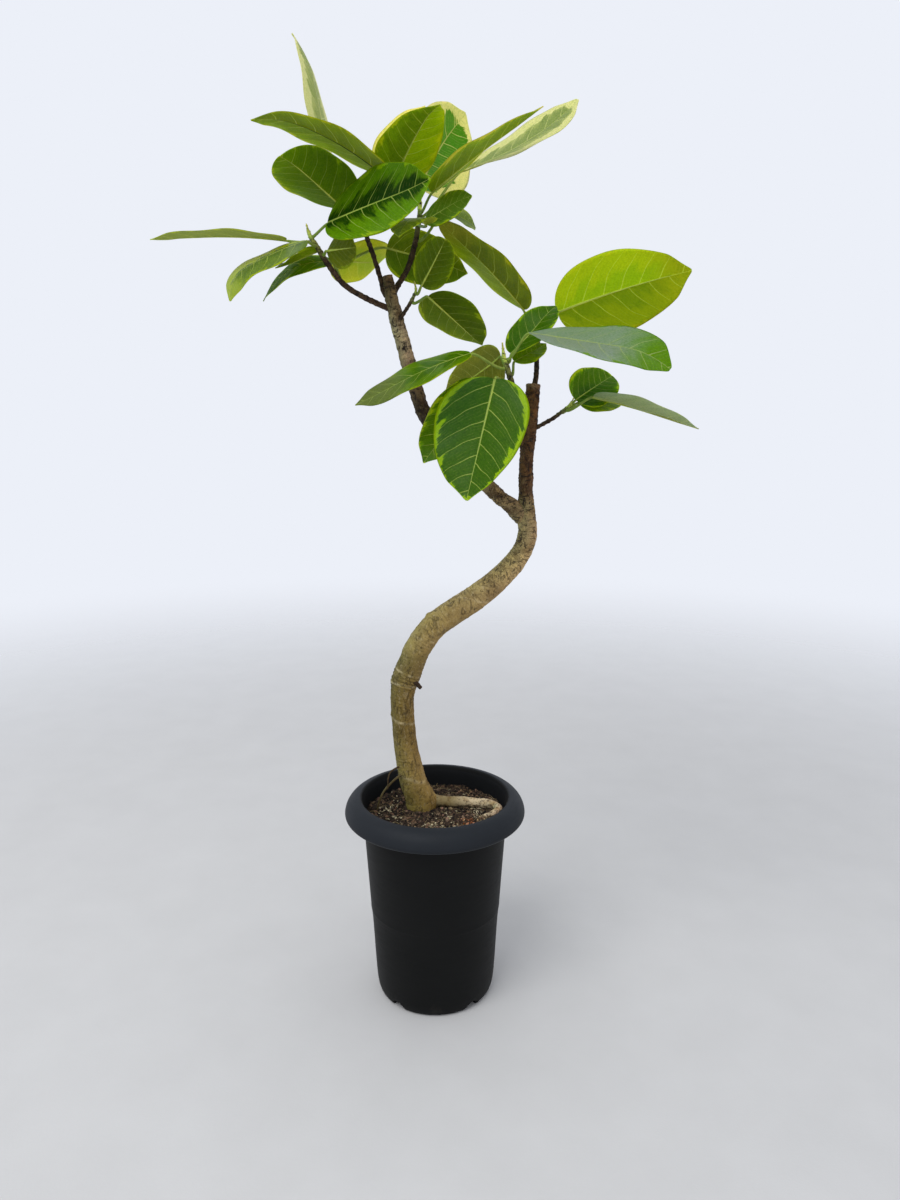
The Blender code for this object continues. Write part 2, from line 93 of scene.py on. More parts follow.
class Value:
    """What comes out of a node of a finish. Each method, and each + - * or /, adds a node
    that takes this value in, and gives back what comes out of that one."""

    def __init__(self, finish, socket):
        self.finish, self.socket = finish, socket

    def into(self, kind, inputs, out=0, **settings):
        """A node that takes the value in first, and then the inputs."""
        return self.finish.node(kind, {0: self, **inputs}, out, **settings)

    def maths(self, operation, other=0.0):
        return self.into("Math", {1: other}, operation=operation)

    __add__ = partialmethod(maths, "ADD")
    __sub__ = partialmethod(maths, "SUBTRACT")
    __mul__ = partialmethod(maths, "MULTIPLY")
    __truediv__ = partialmethod(maths, "DIVIDE")
    larger = partialmethod(maths, "MAXIMUM")

    def part(self, number):
        """x, y or z of a vector, for 0, 1 or 2."""
        return self.into("SeparateXYZ", {}, number)

    def length(self):
        return self.into("VectorMath", {}, "Value", operation="LENGTH")

    def stretched(self, *scale):
        return self.into("Mapping", {"Scale": scale})

    def noise(self, scale, detail=3.0, roughness=0.55, twist=0.0):
        inputs = {"Scale": scale, "Detail": detail, "Roughness": roughness, "Distortion": twist}
        return self.into("TexNoise", inputs)

    def cells(self, scale):
        return self.into("TexVoronoi", {"Scale": scale}, "Distance")

    def between(self, low, high):
        """0 where the value is under low, 1 over high, and a smooth rise between them."""
        inputs = {"From Min": low, "From Max": high}
        return self.into("MapRange", inputs, interpolation_type="SMOOTHSTEP")

    def graded(self, first, last, low=0.0, high=1.0):
        """first where the value is low, last where it is high, and evenly between them."""
        inputs = {"From Min": low, "From Max": high, "To Min": first, "To Max": last}
        return self.into("MapRange", inputs)

    def mix(self, first, second):
        """The first colour where the value is 0, and the second where it is 1."""
        return self.into("Mix", {6: first, 7: second}, 2, data_type="RGBA")

    def tinted(self, colour):
        """A colour whose channels are multiplied by those of another."""
        inputs = {0: 1.0, 6: self, 7: colour}
        return self.finish.node("Mix", inputs, 2, data_type="RGBA", blend_type="MULTIPLY")

    def ramp(self, *stops):
        """A row of colours, each with its place from 0 to 1."""
        made = self.into("ValToRGB", {})
        line = made.socket.node.color_ramp.elements
        while len(line) < len(stops):
            line.new(0.5)
        for element, (place, rgb) in zip(line, stops):
            element.position = place
            element.color = (*rgb, 1)
        return made

    def bump(self, distance, strength, under=None):
        """Fine relief that is as high as the value, over that of under."""
        inputs = {"Height": self, "Distance": distance, "Strength": strength}
        if under:
            inputs["Normal"] = under
        return self.finish.node("Bump", inputs)


class Finish:
    """A material that is built node by node, from values, numbers and colours."""

    def __init__(self, name):
        self.material = bpy.data.materials.new(name)
        self.material.use_nodes = True
        self.tree = self.material.node_tree
        self.shader = self.tree.nodes["Principled BSDF"]

    def node(self, kind, inputs, out=0, **settings):
        """Adds a node, fills its inputs, and gives back one of its outputs."""
        made = self.tree.nodes.new("ShaderNode" + kind)
        for key, value in settings.items():
            setattr(made, key, value)
        for key, value in inputs.items():
            self.feed(made.inputs[key], value)
        return Value(self, made.outputs[out])

    def feed(self, socket, value):
        if isinstance(value, Value):
            self.tree.links.new(value.socket, socket)
        else:
            socket.default_value = (*value, 1) if socket.type == "RGBA" else value

    def set(self, **inputs):
        """Fills the shader's sockets, whose names are given small and with _ for a space."""
        sockets = {socket.name.lower(): socket for socket in self.shader.inputs}
        for key, value in inputs.items():
            self.feed(sockets[key.replace("_", " ")], value)

    def glow(self, colour, share):
        """Lets light through in that colour, as that share of the surface."""
        through = self.node("BsdfTranslucent", {"Color": colour})
        both = {0: share, 1: Value(self, self.shader.outputs[0]), 2: through}
        surface = self.tree.nodes["Material Output"].inputs["Surface"]
        self.feed(surface, self.node("MixShader", both))

    def where(self):
        return self.node("TexCoord", {}, "Object")

    def point(self, x, y, z):
        return self.node("CombineXYZ", {0: x, 1: y, 2: z})

    def carried(self, name, out="Vector"):
        """An attribute of the mesh, as a vector or as a colour."""
        return self.node("Attribute", {}, out, attribute_name=name)


# Floor: a plain pale studio floor. It thins out with distance from the pot and lets the
# sky show, so that it has no edge or horizon from any side.
FLOOR_SIZE = 8
FLOOR_FADES_FROM = 0.9
FLOOR_GONE_AT = 3.4

floor_finish = Finish("floor_pale")
place = floor_finish.where()
floor_finish.set(
    base_color=place.noise(9, 6).mix((0.5, 0.495, 0.485), (0.56, 0.555, 0.545)),
    roughness=0.85,
    alpha=place.length().between(FLOOR_GONE_AT, FLOOR_FADES_FROM),
    normal=place.noise(260).bump(0.0004, 0.4),
)
floor_mesh = bpy.data.meshes.new("floor")
floor_corners = FLOOR_SIZE * np.array([(-1, -1, 0), (1, -1, 0), (1, 1, 0), (-1, 1, 0)])
floor_mesh.from_pydata(floor_corners.tolist(), [], [(0, 1, 2, 3)])
floor_mesh.materials.append(floor_finish.material)
floor = placed("floor", floor_mesh)

# Pot: an injection-moulded nursery pot of black polypropylene with a rolled rim, a fine
# step round the body and four drainage notches in its foot.
POT_HEIGHT = 0.3
POT_PROFILE = (
    (0.1066, POT_HEIGHT), (0.114, 0.2985), (0.1205, 0.2945), (0.1258, 0.2875),
    (0.1283, 0.279), (0.1279, 0.2745), (0.1256, 0.2716), (0.1243, 0.2714), (0.124, 0.2726),
    (0.1254, 0.275), (0.1258, 0.279), (0.1235, 0.2858), (0.118, 0.2925),
    (0.108, 0.2965), (0.1045, 0.294), (0.1018, 0.26), (0.1003, 0.239), (0.0935, 0.135),
    (0.0937, 0.1325), (0.093, 0.13), (0.091, 0.11), (0.087, 0.03),
    (0.0845, 0.009), (0.08, 0), (0.07, 0), (0.068, 0.003),
    (0.0235, 0.003), (0.0215, 0), (0.001, 0), (0.001, 0.006),
    (0.0765, 0.006), (0.0815, 0.012), (0.0845, 0.03), (0.0885, 0.11),
    (0.0908, 0.132), (0.0975, 0.227), (0.1015, 0.288), (0.1035, 0.296),
    (0.1048, 0.299),
)
NOTCH_ANGLES = (50, 130, 230, 310)
NOTCH_HALF_WIDTH = 0.0115
NOTCH_HEIGHT = 0.012
POT_SIDES = 240
FOOT_RADIUS = 0.0845
FOOT_INSIDE = 0.069
# Parts of the pot with a look of their own, by height above the floor and distance from the
# axis: the rim's top with a painted bluish sheen, the lip's lower edge with a painted thin
# highlight, the inside wall, and the dust low down. Each pair is where the look starts and
# where it is full. For the inside, the distance is taken less the wall's slope times the height.
RIM_SHEEN_HEIGHTS = (0.27, 0.274)
RIM_SHEEN_RADII = (0.1045, 0.1085)
LIP_HIGHLIGHT_HEIGHTS = (0.2736, 0.272)
LIP_HIGHLIGHT_RADII = (0.1235, 0.1243)
INSIDE_HEIGHTS = (0.2, 0.23)
INSIDE_RADII = (0.0843, 0.0835)
WALL_SLOPE = 0.0656
DUST_HEIGHTS = (0.045, 0.0)


def rounded(points, times, share=0.25):
    """Corners taken off a closed outline: each point gives way to one at that share of the
    way to each neighbour, as many times as asked."""
    for _ in range(times):
        after = np.roll(points, -1, axis=0)
        points = np.stack([points + (after - points) * share,
                           points + (after - points) * (1 - share)], 1).reshape(-1, 2)
    return points


def ring_faces(rows, sides, closed=False):
    """Faces between rings of points, one ring a row: four sides between neighbours, and
    three sides to the middle of each end ring, whose two points come last, or from the last
    ring back to the first where it is closed."""
    here = np.arange(rows * sides).reshape(rows, sides)
    if closed:
        here = np.vstack([here, here[:1]])
    after = np.roll(here, -1, axis=1)
    quads = np.stack([here[:-1], after[:-1], after[1:], here[1:]], -1).reshape(-1, 4)
    first = np.full(sides, rows * sides)
    fans = np.vstack([np.stack([after[0], here[0], first], -1),
                      np.stack([here[-1], after[-1], first + 1], -1)])
    return quads, fans[:0] if closed else fans


def with_ends(values):
    """Values of the points of rings, and the mean of each end ring for its middle point."""
    return np.vstack([values.reshape(-1, 3), values[0].mean(0), values[-1].mean(0)])


def surface(name, points, quads, fans, material, carried):
    """An object with a smooth mesh that carries three numbers a point under each name."""
    mesh = bpy.data.meshes.new(name)
    mesh.from_pydata(points, [], quads.tolist() + fans.tolist())
    mesh.shade_smooth()
    mesh.materials.append(material)
    for key, values in carried.items():
        layer = mesh.attributes.new(key, "FLOAT_VECTOR", "POINT")
        layer.data.foreach_set("vector", values.astype(np.float32).ravel())
    return placed(name, mesh)


def skin(name, rings, material, closed=False, **carried):
    """An object whose surface runs through rings of points in metres. Its ends are filled,
    unless it is closed and runs from the last ring back to the first."""
    faces = ring_faces(*rings.shape[:2], closed)
    points = rings.reshape(-1, 3) if closed else with_ends(rings)
    carried = {key: with_ends(values) for key, values in carried.items()}
    return surface(name, points, *faces, material, carried)


def part_of_plant(obj, node):
    """Puts a finished piece under the plant's body in the place of its solid, which it hides."""
    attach(obj, "root")
    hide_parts(node)


# Each ring of the pot is its profile at one angle. Over a notch the foot's wall is lifted
# to half an ellipse, by moving every low point up in proportion to how low it is.
outline = rounded(np.array(POT_PROFILE), 2)[::-1]
turn = np.linspace(0, 2 * pi, POT_SIDES, endpoint=False)[:, None]
radius, height = outline[:, 0] + 0 * turn, outline[:, 1] + 0 * turn
for notch_angle in NOTCH_ANGLES:
    offset = (turn - radians(notch_angle) + pi) % (2 * pi) - pi
    across = np.clip(np.abs(offset * FOOT_RADIUS) / NOTCH_HALF_WIDTH, 0, 1)
    arch = NOTCH_HEIGHT * np.sqrt(1 - across ** 2)
    outer = np.clip((radius - FOOT_INSIDE) / 0.001, 0, 1)
    height = height + outer * np.clip(arch - height, 0, None)
pot_rings = np.stack([radius * np.cos(turn), radius * np.sin(turn), height], -1)

pot_finish = Finish("pot_plastic")
place = pot_finish.where()
up, reach = place.part(2), place.stretched(1, 1, 0).length()
scuffs = place.stretched(30, 30, 220).noise(1, 5, 0.65, 0.6)
moulded = place.noise(14, 5).mix((0.0022, 0.0025, 0.0024), (0.0048, 0.0051, 0.005))
# Painted sheen: the rim's top is a paler bluish grey, the sky's broad sheen on it painted into the
# plastic's colour.
painted_rim_sheen = place.noise(22, 6, 0.65).mix((0.0105, 0.0125, 0.0155), (0.016, 0.019, 0.0235))
rim = up.between(*RIM_SHEEN_HEIGHTS) * reach.between(*RIM_SHEEN_RADII)
tone = rim.mix(moulded, painted_rim_sheen)
inside = up.between(*INSIDE_HEIGHTS) * (up * -WALL_SLOPE + reach).between(*INSIDE_RADII)
tone = inside.mix(tone, (0.0062, 0.007, 0.008))
# Painted highlight: a thin pale line along the lip's lower edge, where it catches the light.
lip_highlight = up.between(*LIP_HIGHLIGHT_HEIGHTS) * reach.between(*LIP_HIGHLIGHT_RADII)
tone = lip_highlight.mix(tone, (0.04, 0.045, 0.05))
dust = place.noise(40, 8, 0.75).between(0.54, 0.8) * up.between(*DUST_HEIGHTS)
tone = (dust * 0.2).mix(tone, (0.1, 0.085, 0.065))
pot_finish.set(
    base_color=tone, roughness=scuffs.graded(0.46, 0.66), specular_ior_level=0.13,
    normal=scuffs.bump(0.0003, 0.25, place.noise(1400, 2).bump(0.0002, 0.35)),
)
pot = skin("pot_moulding", pot_rings, pot_finish.material, closed=True)
part_of_plant(pot, "pot")

# Soil: dark brown potting mix of peat, bark chips and coconut fibre, poured in to 29 mm
# under the rim and settled into small lumps.
SOIL_TOP = 0.271
SOIL_RADIUS = 0.0996
SOIL_DEPTH = 0.03
SOIL_LUMP = 0.002
STEM_FOOT = (-0.021, 0.026)
ROOT_LINE = np.array([(-18, 26), (-1, 24), (30, 22), (64, 20), (86, 14), (92, 3), (80, -8)]) / 1000
CRUMBS = 2000
BARK_CHIPS = 230
FIBRES = 620
STRAW_BITS = 330
# Where pale bits of straw lie thickest, and the one patch of rust-brown bark.
STRAW_SPOTS = np.array(
    [(-0.057, -0.012), (-0.068, 0.004), (0.004, -0.03), (0.02, -0.022), (0.06, -0.006)]
)
RUST_SPOT = np.array([0.047, -0.030])
# The soil is damp and dark at the left and dries out, getting paler, between these places.
DRY_FROM = (-0.06, -0.02)
# Soil is level this near the stem's foot and the root, and gets its lumps over the second
# length. Its top is lowered a little to make room for the finest swells.
LEVEL_NEAR, LEVEL_FADE = 0.028, 0.02
FINE_ROOM = 0.0006


def ripple(points, size, seed):
    """Smooth random swell of about -1 to 1: fourteen sine waves added up, each in its own
    direction, with lengths round size."""
    draw = np.random.default_rng(seed)
    total = 0
    for _ in range(14):
        heading = draw.normal(size=3)
        heading *= 2 * pi / size * draw.uniform(0.6, 1.7) / np.linalg.norm(heading)
        total = total + np.sin(points @ heading + draw.uniform(0, 2 * pi))
    return total / 4.5


def soil_height(x, y):
    """The soil's top: the solid's broad lumps, level at the stem's foot and along the root,
    with finer and finer swells on them."""
    lumps = np.sin(95 * x + 1.3) * np.cos(110 * y - 0.4) + 0.5 * np.sin(210 * x - 170 * y)
    near = np.min(np.hypot(x[..., None] - ROOT_LINE[:, 0], y[..., None] - ROOT_LINE[:, 1]), -1)
    from_foot = np.hypot(x - STEM_FOOT[0], y - STEM_FOOT[1])
    free = np.clip((np.minimum(near, from_foot) - LEVEL_NEAR) / LEVEL_FADE, 0, 1)
    flat = np.stack([x, y, 0 * x], -1)
    fine = 0.0013 * ripple(flat, 0.018, 1) + 0.001 * ripple(flat, 0.008, 2)
    fine += 0.0007 * ripple(flat, 0.0036, 3)
    return SOIL_TOP - FINE_ROOM + SOIL_LUMP * lumps * free + fine


draw = np.random.default_rng(21)


def turned_at_random(count, lean):
    """Turning matrices: any turn about the upright axis after a lean of about that much."""
    spin = draw.uniform(0, 2 * pi, count)
    tip = draw.normal(0, lean, count)
    way = draw.uniform(0, pi, count)
    upright = np.zeros((count, 3, 3))
    upright[:, 0, 0] = upright[:, 1, 1] = np.cos(spin)
    upright[:, 1, 0], upright[:, 0, 1] = np.sin(spin), -np.sin(spin)
    upright[:, 2, 2] = 1
    axis = np.stack([np.cos(way), np.sin(way), 0 * way], -1)
    cross = np.zeros((count, 3, 3))
    cross[:, 0, 2], cross[:, 2, 0] = axis[:, 1], -axis[:, 1]
    cross[:, 1, 2], cross[:, 2, 1] = -axis[:, 0], axis[:, 0]
    leaned = np.eye(3) + np.sin(tip)[:, None, None] * cross
    leaned = leaned + (1 - np.cos(tip))[:, None, None] * (cross @ cross)
    return leaned @ upright


def on_soil(count, clear_of_stem=0.026):
    """Places spread evenly over the soil, outside the stem's foot, at the soil's height."""
    angle = draw.uniform(0, 2 * pi, 3 * count)
    reach = (SOIL_RADIUS - 0.002) * np.sqrt(draw.uniform(0, 1, 3 * count))
    x, y = reach * np.cos(angle), reach * np.sin(angle)
    free = np.hypot(x - STEM_FOOT[0], y - STEM_FOOT[1]) > clear_of_stem
    x, y = x[free][:count], y[free][:count]
    return np.stack([x, y, soil_height(x, y)], -1)


def pebble(rows, sides, squareness):
    """Rings of a ball of radius 1 whose sides are squared by a power under 1."""
    tilt = np.linspace(0.12, pi - 0.12, rows)[:, None]
    around = np.linspace(0, 2 * pi, sides, endpoint=False)[None, :]
    ball = np.stack([np.sin(tilt) * np.cos(around), np.sin(tilt) * np.sin(around),
                     -np.cos(tilt) + 0 * around], -1)
    return np.sign(ball) * np.abs(ball) ** squareness


soil_finish = Finish("potting_mix")
place = soil_finish.where()
earth = place.noise(260, 8, 0.7).ramp(
    (0.34, (0.004, 0.0025, 0.0018)), (0.52, (0.014, 0.008, 0.005)),
    (0.64, (0.04, 0.024, 0.014)), (0.8, (0.16, 0.11, 0.06)),
)
soil_finish.set(
    base_color=place.part(0).between(*DRY_FROM).mix(earth, earth.tinted((2.6, 2.8, 2.9))),
    roughness=0.95, specular_ior_level=0.2,
    normal=place.noise(520, 6, 0.7).bump(0.0012, 0.9),
)
steps_out = np.linspace(0.001, 1, 130)
around = np.linspace(0, 2 * pi, 300, endpoint=False)
soil_x = SOIL_RADIUS * steps_out[:, None] * np.cos(around)
soil_y = SOIL_RADIUS * steps_out[:, None] * np.sin(around)
top_rings = np.stack([soil_x, soil_y, soil_height(soil_x, soil_y)], -1)
wall_ring = np.stack([0.976 * soil_x[-1], 0.976 * soil_y[-1],
                      np.full(300, SOIL_TOP - SOIL_DEPTH)], -1)
soil = skin("soil_bed", np.vstack([wall_ring[None], top_rings[::-1]]), soil_finish.material)
part_of_plant(soil, "soil")

loose_finish = Finish("loose_mix")
place = loose_finish.where()
stains = place.noise(900, 4).between(0.42, 0.62) * 0.55
loose_finish.set(
    base_color=stains.mix(loose_finish.carried("tone", "Color"), (0.02, 0.012, 0.007)),
    roughness=0.9, specular_ior_level=0.25,
    normal=place.noise(1500, 3).bump(0.0005, 0.7),
)


def strewn(name, shape, places, tones, sizes, form, spread, lean):
    """One mesh of many small copies: the points of a shape, which is rings of points, are
    scaled, turned and moved to each place. A copy is as big as one random draw between the
    sizes, times the form, times three more draws within the spread where there is one."""
    count, flat = len(places), with_ends(shape)
    scale = draw.uniform(*sizes, (count, 1)) * np.array(form)
    if spread:
        scale = scale * draw.uniform(*spread, (count, 3))
    turns = turned_at_random(count, lean)
    points = np.einsum("nij,nkj->nki", turns, flat * scale[:, None, :]) + places[:, None, :]
    step = np.arange(count)[:, None, None] * len(flat)
    quads, fans = (faces + step for faces in ring_faces(*shape.shape[:2]))
    piece = surface(
        name, points.reshape(-1, 3), quads.reshape(-1, 4), fans.reshape(-1, 3),
        loose_finish.material, {"tone": np.repeat(tones, len(flat), 0)},
    )
    part_of_plant(piece, "soil")


def rust_at(places, width):
    """How rusty each place is: 1 at the rust spot, fading out over the width."""
    away = np.sum((places[:, :2] - RUST_SPOT) ** 2, 1)
    return np.exp(-away / width ** 2)[:, None]


crumb_tones = np.array((0.0115, 0.0074, 0.0044)) * draw.uniform(0.2, 2.05, (CRUMBS, 1)) ** 3.2
crumb_tones = crumb_tones * draw.uniform(0.85, 1.15, (CRUMBS, 3))
crumb_places = on_soil(CRUMBS)
dry = np.clip((crumb_places[:, :1] - DRY_FROM[0]) / (DRY_FROM[1] - DRY_FROM[0]), 0, 1)
front = np.clip(-crumb_places[:, 1:2] / 0.05, 0, 1)
crumb_tones = crumb_tones * (1 + (1.8 + 2.6 * front) * dry)
crumb_tones = crumb_tones + rust_at(crumb_places, 0.008) * (0.34, 0.085, 0.012)
strewn(
    "soil_crumbs", pebble(5, 6, 0.9), crumb_places, crumb_tones,
    sizes=(0.0006, 0.0028), form=(1, 1, 1), spread=(0.5, 1.2), lean=1.0,
)

chip_tones = np.array((0.075, 0.042, 0.024)) * draw.uniform(0.25, 1.5, (BARK_CHIPS, 1)) ** 2
chip_places = on_soil(BARK_CHIPS, 0.03) + (0, 0, 0.0007)
chip_tones = chip_tones + rust_at(chip_places, 0.012) * (0.26, 0.075, 0.012)
strewn(
    "soil_bark_chips", pebble(4, 7, 0.55), chip_places, chip_tones,
    sizes=(0.0018, 0.0048), form=(1, 0.5, 0.26), spread=(0.7, 1.3), lean=0.35,
)

# Two thirds of the straw bits are drawn in towards the nearest of the straw spots.
bit_places = on_soil(STRAW_BITS, 0.03)
nearest = np.linalg.norm(bit_places[:, None, :2] - STRAW_SPOTS, axis=-1).argmin(1)
pull = (draw.uniform(size=STRAW_BITS) < 0.66)[:, None] * draw.uniform(0.4, 0.95, (STRAW_BITS, 1))
bit_places[:, :2] += pull * (STRAW_SPOTS[nearest] - bit_places[:, :2])
bit_places[:, 2] = soil_height(bit_places[:, 0], bit_places[:, 1]) + 0.0009
bit_tones = np.array((0.58, 0.5, 0.32)) * draw.uniform(0.35, 1.25, (STRAW_BITS, 1))
strewn(
    "soil_straw_bits", pebble(4, 6, 0.5), bit_places, bit_tones,
    sizes=(0.0006, 0.0021), form=(1, 0.5, 0.32), spread=(0.6, 1.4), lean=0.5,
)

# A fibre is a thin tube along a shallow arc, so its copies differ in length and turn.
arc = np.linspace(-1, 1, 9)[:, None]
four = np.linspace(0, 2 * pi, 4, endpoint=False)[None, :]
fibre_shape = np.stack([arc + 0 * four, 0.35 * arc ** 2 + 0.02 * np.cos(four) - 0.1,
                        0.1 * (1 - arc ** 2) + 0.02 * np.sin(four)], -1)
straw = np.array((0.46, 0.35, 0.17)) * draw.uniform(0.25, 1.1, (FIBRES, 1)) ** 1.6
fibre_places = on_soil(FIBRES, 0.032) + (0, 0, 0.0006)
strewn(
    "soil_fibres", fibre_shape, fibre_places, straw,
    sizes=(0.002, 0.0085), form=(1, 1, 1.2), spread=None, lean=0.22,
)

# Trunk: the living stem, bent in an S while it was young. Its bark is smooth and tan with
# fine rings and pores, greener near the soil, and it was cut square at the top.
MM = 0.001
STEM = (
    (-21, 26, 251, 22), (-21, 26, 268, 22.5), (-21, 25, 275, 22.3), (-22, 25, 282, 21.6),
    (-26, 22, 294, 20.4),
    (-32, 18, 313, 18.8), (-40, 12, 359, 17), (-44, 8, 402, 16), (-45, 4, 440, 16),
    (-42, 3, 463, 17.5), (-38, 2, 478, 18.8), (-30, 0, 497, 18), (-23, -1, 516, 18),
    (-1, -3, 547, 17.8), (28, -3, 568, 17.4), (55, -3, 586, 17), (89, -2, 615, 15.5),
    (113, 0, 642, 14), (125, 0, 672, 12.5), (123, 0, 703, 12.4), (122, 0, 727, 9.4),
    (122, 2, 759, 9.2), (124, 4, 791, 9.6), (128, 6, 836, 9.2), (130, 8, 869, 9.4),
)
# Colours of the bark along the stem, each at a height above the floor in millimetres.
STEM_TONES = (
    (271, (0.23, 0.162, 0.034)), (330, (0.265, 0.19, 0.05)), (400, (0.16, 0.108, 0.022)),
    (445, (0.16, 0.108, 0.022)), (480, (0.175, 0.125, 0.032)), (505, (0.2, 0.15, 0.04)),
    (525, (0.33, 0.245, 0.08)), (555, (0.29, 0.205, 0.063)), (600, (0.38, 0.27, 0.105)),
    (615, (0.44, 0.32, 0.125)), (656, (0.43, 0.325, 0.135)), (675, (0.36, 0.26, 0.118)),
    (712, (0.26, 0.2, 0.085)), (730, (0.115, 0.058, 0.018)), (800, (0.08, 0.034, 0.008)),
    (862, (0.095, 0.042, 0.01)),
    (869, (0.24, 0.15, 0.075)),
)
# Heights of the pale scars that ring the stem, and how wide each is.
PALE_SCARS = ((318, 2.0), (404, 1.3), (462, 1.7), (478, 1.5), (534, 1.3), (606, 1.4))
SCAR_TINT = (0.3, 0.27, 0.18)
LEFT_LEADER = (
    (121, 0, 692, 9), (108, -2, 708, 9.8), (88, -2, 723, 9.3), (70, 4, 738, 9.3),
    (28, 12, 771, 9.2), (-9, 14, 826, 9.4), (-22, 12, 859, 9.3), (-40, 8, 924, 9.5),
    (-53, 6, 974, 8.3), (-58, 6, 1003, 6),
)
LEADER_TONES = (
    (692, (0.23, 0.165, 0.075)), (735, (0.25, 0.17, 0.08)), (785, (0.03, 0.019, 0.008)),
    (820, (0.032, 0.021, 0.009)), (860, (0.12, 0.075, 0.036)), (905, (0.27, 0.2, 0.11)),
    (935, (0.34, 0.275, 0.15)), (965, (0.2, 0.15, 0.07)), (990, (0.13, 0.088, 0.036)),
    (1003, (0.15, 0.092, 0.04)),
)
# Knots and buds that stand out of the bark: x, y and z of the middle, how wide, how high.
KNOTS = (
    (-8, -6, 564, 5, 3.2), (44, -12, 598, 4, 2.4), (-58, -4, 470, 8, 2.5), (-20, -12, 470, 9, 1.5),
    (112, -12, 655, 6, 1.8), (-60, 4, 418, 5, 1.4), (70, -16, 596, 4, 1.5), (-36, -2, 395, 3, 1.5),
    (-1, 20, 283, 9, 3.4), (-8, 8, 290, 6, 1.6), (-31, 4, 352, 3, 1.3), (-24, -4, 448, 4, 1.6),
)
# How much paler bark is on its right, as painted light, and darker on its left, as painted
# shade, than in the middle. And a cut end's rings: how wide against the last one, how far on
# in millimetres, and how bright.
PAINTED_SIDE_LIGHT = (0.32, 0.16, 0.24)
CUT_RINGS = ((0.95, 0.5, 1.25), (0.86, 0.5, 1.1), (0.6, -0.3, 0.8), (0.2, -0.5, 0.7))
# Heights in millimetres from which bark is blotched and split, and rough and closely ringed,
# each with the length over which that grows, and the height about which it is wrinkled.
BLOTCHED_FROM, BLOTCHED_OVER = 560, 150
ROUGH_FROM, ROUGH_OVER = 620, 130
WRINKLED_AT, WRINKLED_OVER = 470, 22
# How far apart the scars of leaves ring the stem, its rough upper part, and the twigs.
STEM_SCAR_STEP, ROUGH_SCAR_STEP, TWIG_SCAR_STEP = 23, 9, 7.2


def smooth_path(points, per_span):
    """Points on a smooth line through rows of x, y, z and radius: between two rows, the
    cubic whose slope at each is half the step from the row before it to the row after."""
    rows = np.array(points, float)
    ends = np.vstack([2 * rows[0] - rows[1], rows, 2 * rows[-1] - rows[-2]])
    a, b, c, d = ends[:-3, None], ends[1:-2, None], ends[2:-1, None], ends[3:, None]
    t = (np.arange(per_span) / per_span)[None, :, None]
    line = 0.5 * (2 * b + (c - a) * t + (2 * a - 5 * b + 4 * c - d) * t ** 2
                  + (3 * b - a - 3 * c + d) * t ** 3)
    return np.vstack([line.reshape(-1, rows.shape[1]), rows[-1]])


def limb(name, path, sides, tones, material, relief, upright=(0, 1, 0), cut=True, scars=()):
    """A round limb along rows of x, y, z and radius in millimetres. Each ring stands square
    to the line, and relief(points, distance) gives how far each point stands out. tones
    holds a height and a colour a row, or else a colour for each ring. A cut end gets a
    rounded rim and a shallow dished face. scars holds heights and widths of pale rings."""
    middle, radius = path[:, :3], path[:, 3]
    ahead = np.gradient(middle, axis=0)
    ahead /= np.linalg.norm(ahead, axis=1)[:, None]
    first = np.cross(upright, ahead)
    first /= np.linalg.norm(first, axis=1)[:, None]
    second = np.cross(ahead, first)
    angle = np.linspace(0, 2 * pi, sides, endpoint=False)[:, None]
    out = first[:, None] * np.cos(angle) + second[:, None] * np.sin(angle)
    steps = np.linalg.norm(np.diff(middle, axis=0), axis=1)
    distance = np.concatenate([[0], np.cumsum(steps)])[:, None] + 0 * angle[:, 0]
    rings = middle[:, None] + out * radius[:, None, None]
    rings = rings + out * relief(rings, distance)[..., None]
    if isinstance(tones, np.ndarray):
        tone = tones[:, None] + 0 * rings
    else:
        levels, colours = zip(*tones)
        channels = [np.interp(rings[..., 2], levels, channel) for channel in zip(*colours)]
        tone = np.stack(channels, -1)
    # Painted light and shade: every limb is paler on its right side and darker on its left.
    painted_light_side = (rings - middle[:, None])[..., :1] / radius[:, None, None]
    tone = tone * (1 + painted_light_side * PAINTED_SIDE_LIGHT)
    for level, wide in scars:
        slope = rings[..., 2] + 0.25 * rings[..., 0] + 2 * ripple(rings, 40, 9)
        pale = np.exp(-((slope - level + 6) / wide) ** 2) * (0.5 + 0.5 * ripple(rings, 14, 10))
        tone = tone + np.clip(pale, 0, 1)[..., None] * SCAR_TINT
    blotched = np.clip((rings[..., 2] - BLOTCHED_FROM) / BLOTCHED_OVER, 0, 1)
    ring = np.stack([distance, blotched, 0 * distance], -1)
    if cut:
        last = rings[-1] - middle[-1]
        rims = [middle[-1] + last * wide + ahead[-1] * on for wide, on, _ in CUT_RINGS]
        rings = np.vstack([rings, rims])
        tone = np.vstack([tone, [tone[-1] * bright for _, _, bright in CUT_RINGS]])
        ring = np.vstack([ring, ring[-len(CUT_RINGS):]])
    return skin(name, rings * MM, material, tone=tone, ring=ring)


def rings_along(distance, step, width):
    """1 on rings that lie a step apart along a limb, fading out over the width."""
    return np.exp(-((distance % step - step / 2) / width) ** 2)


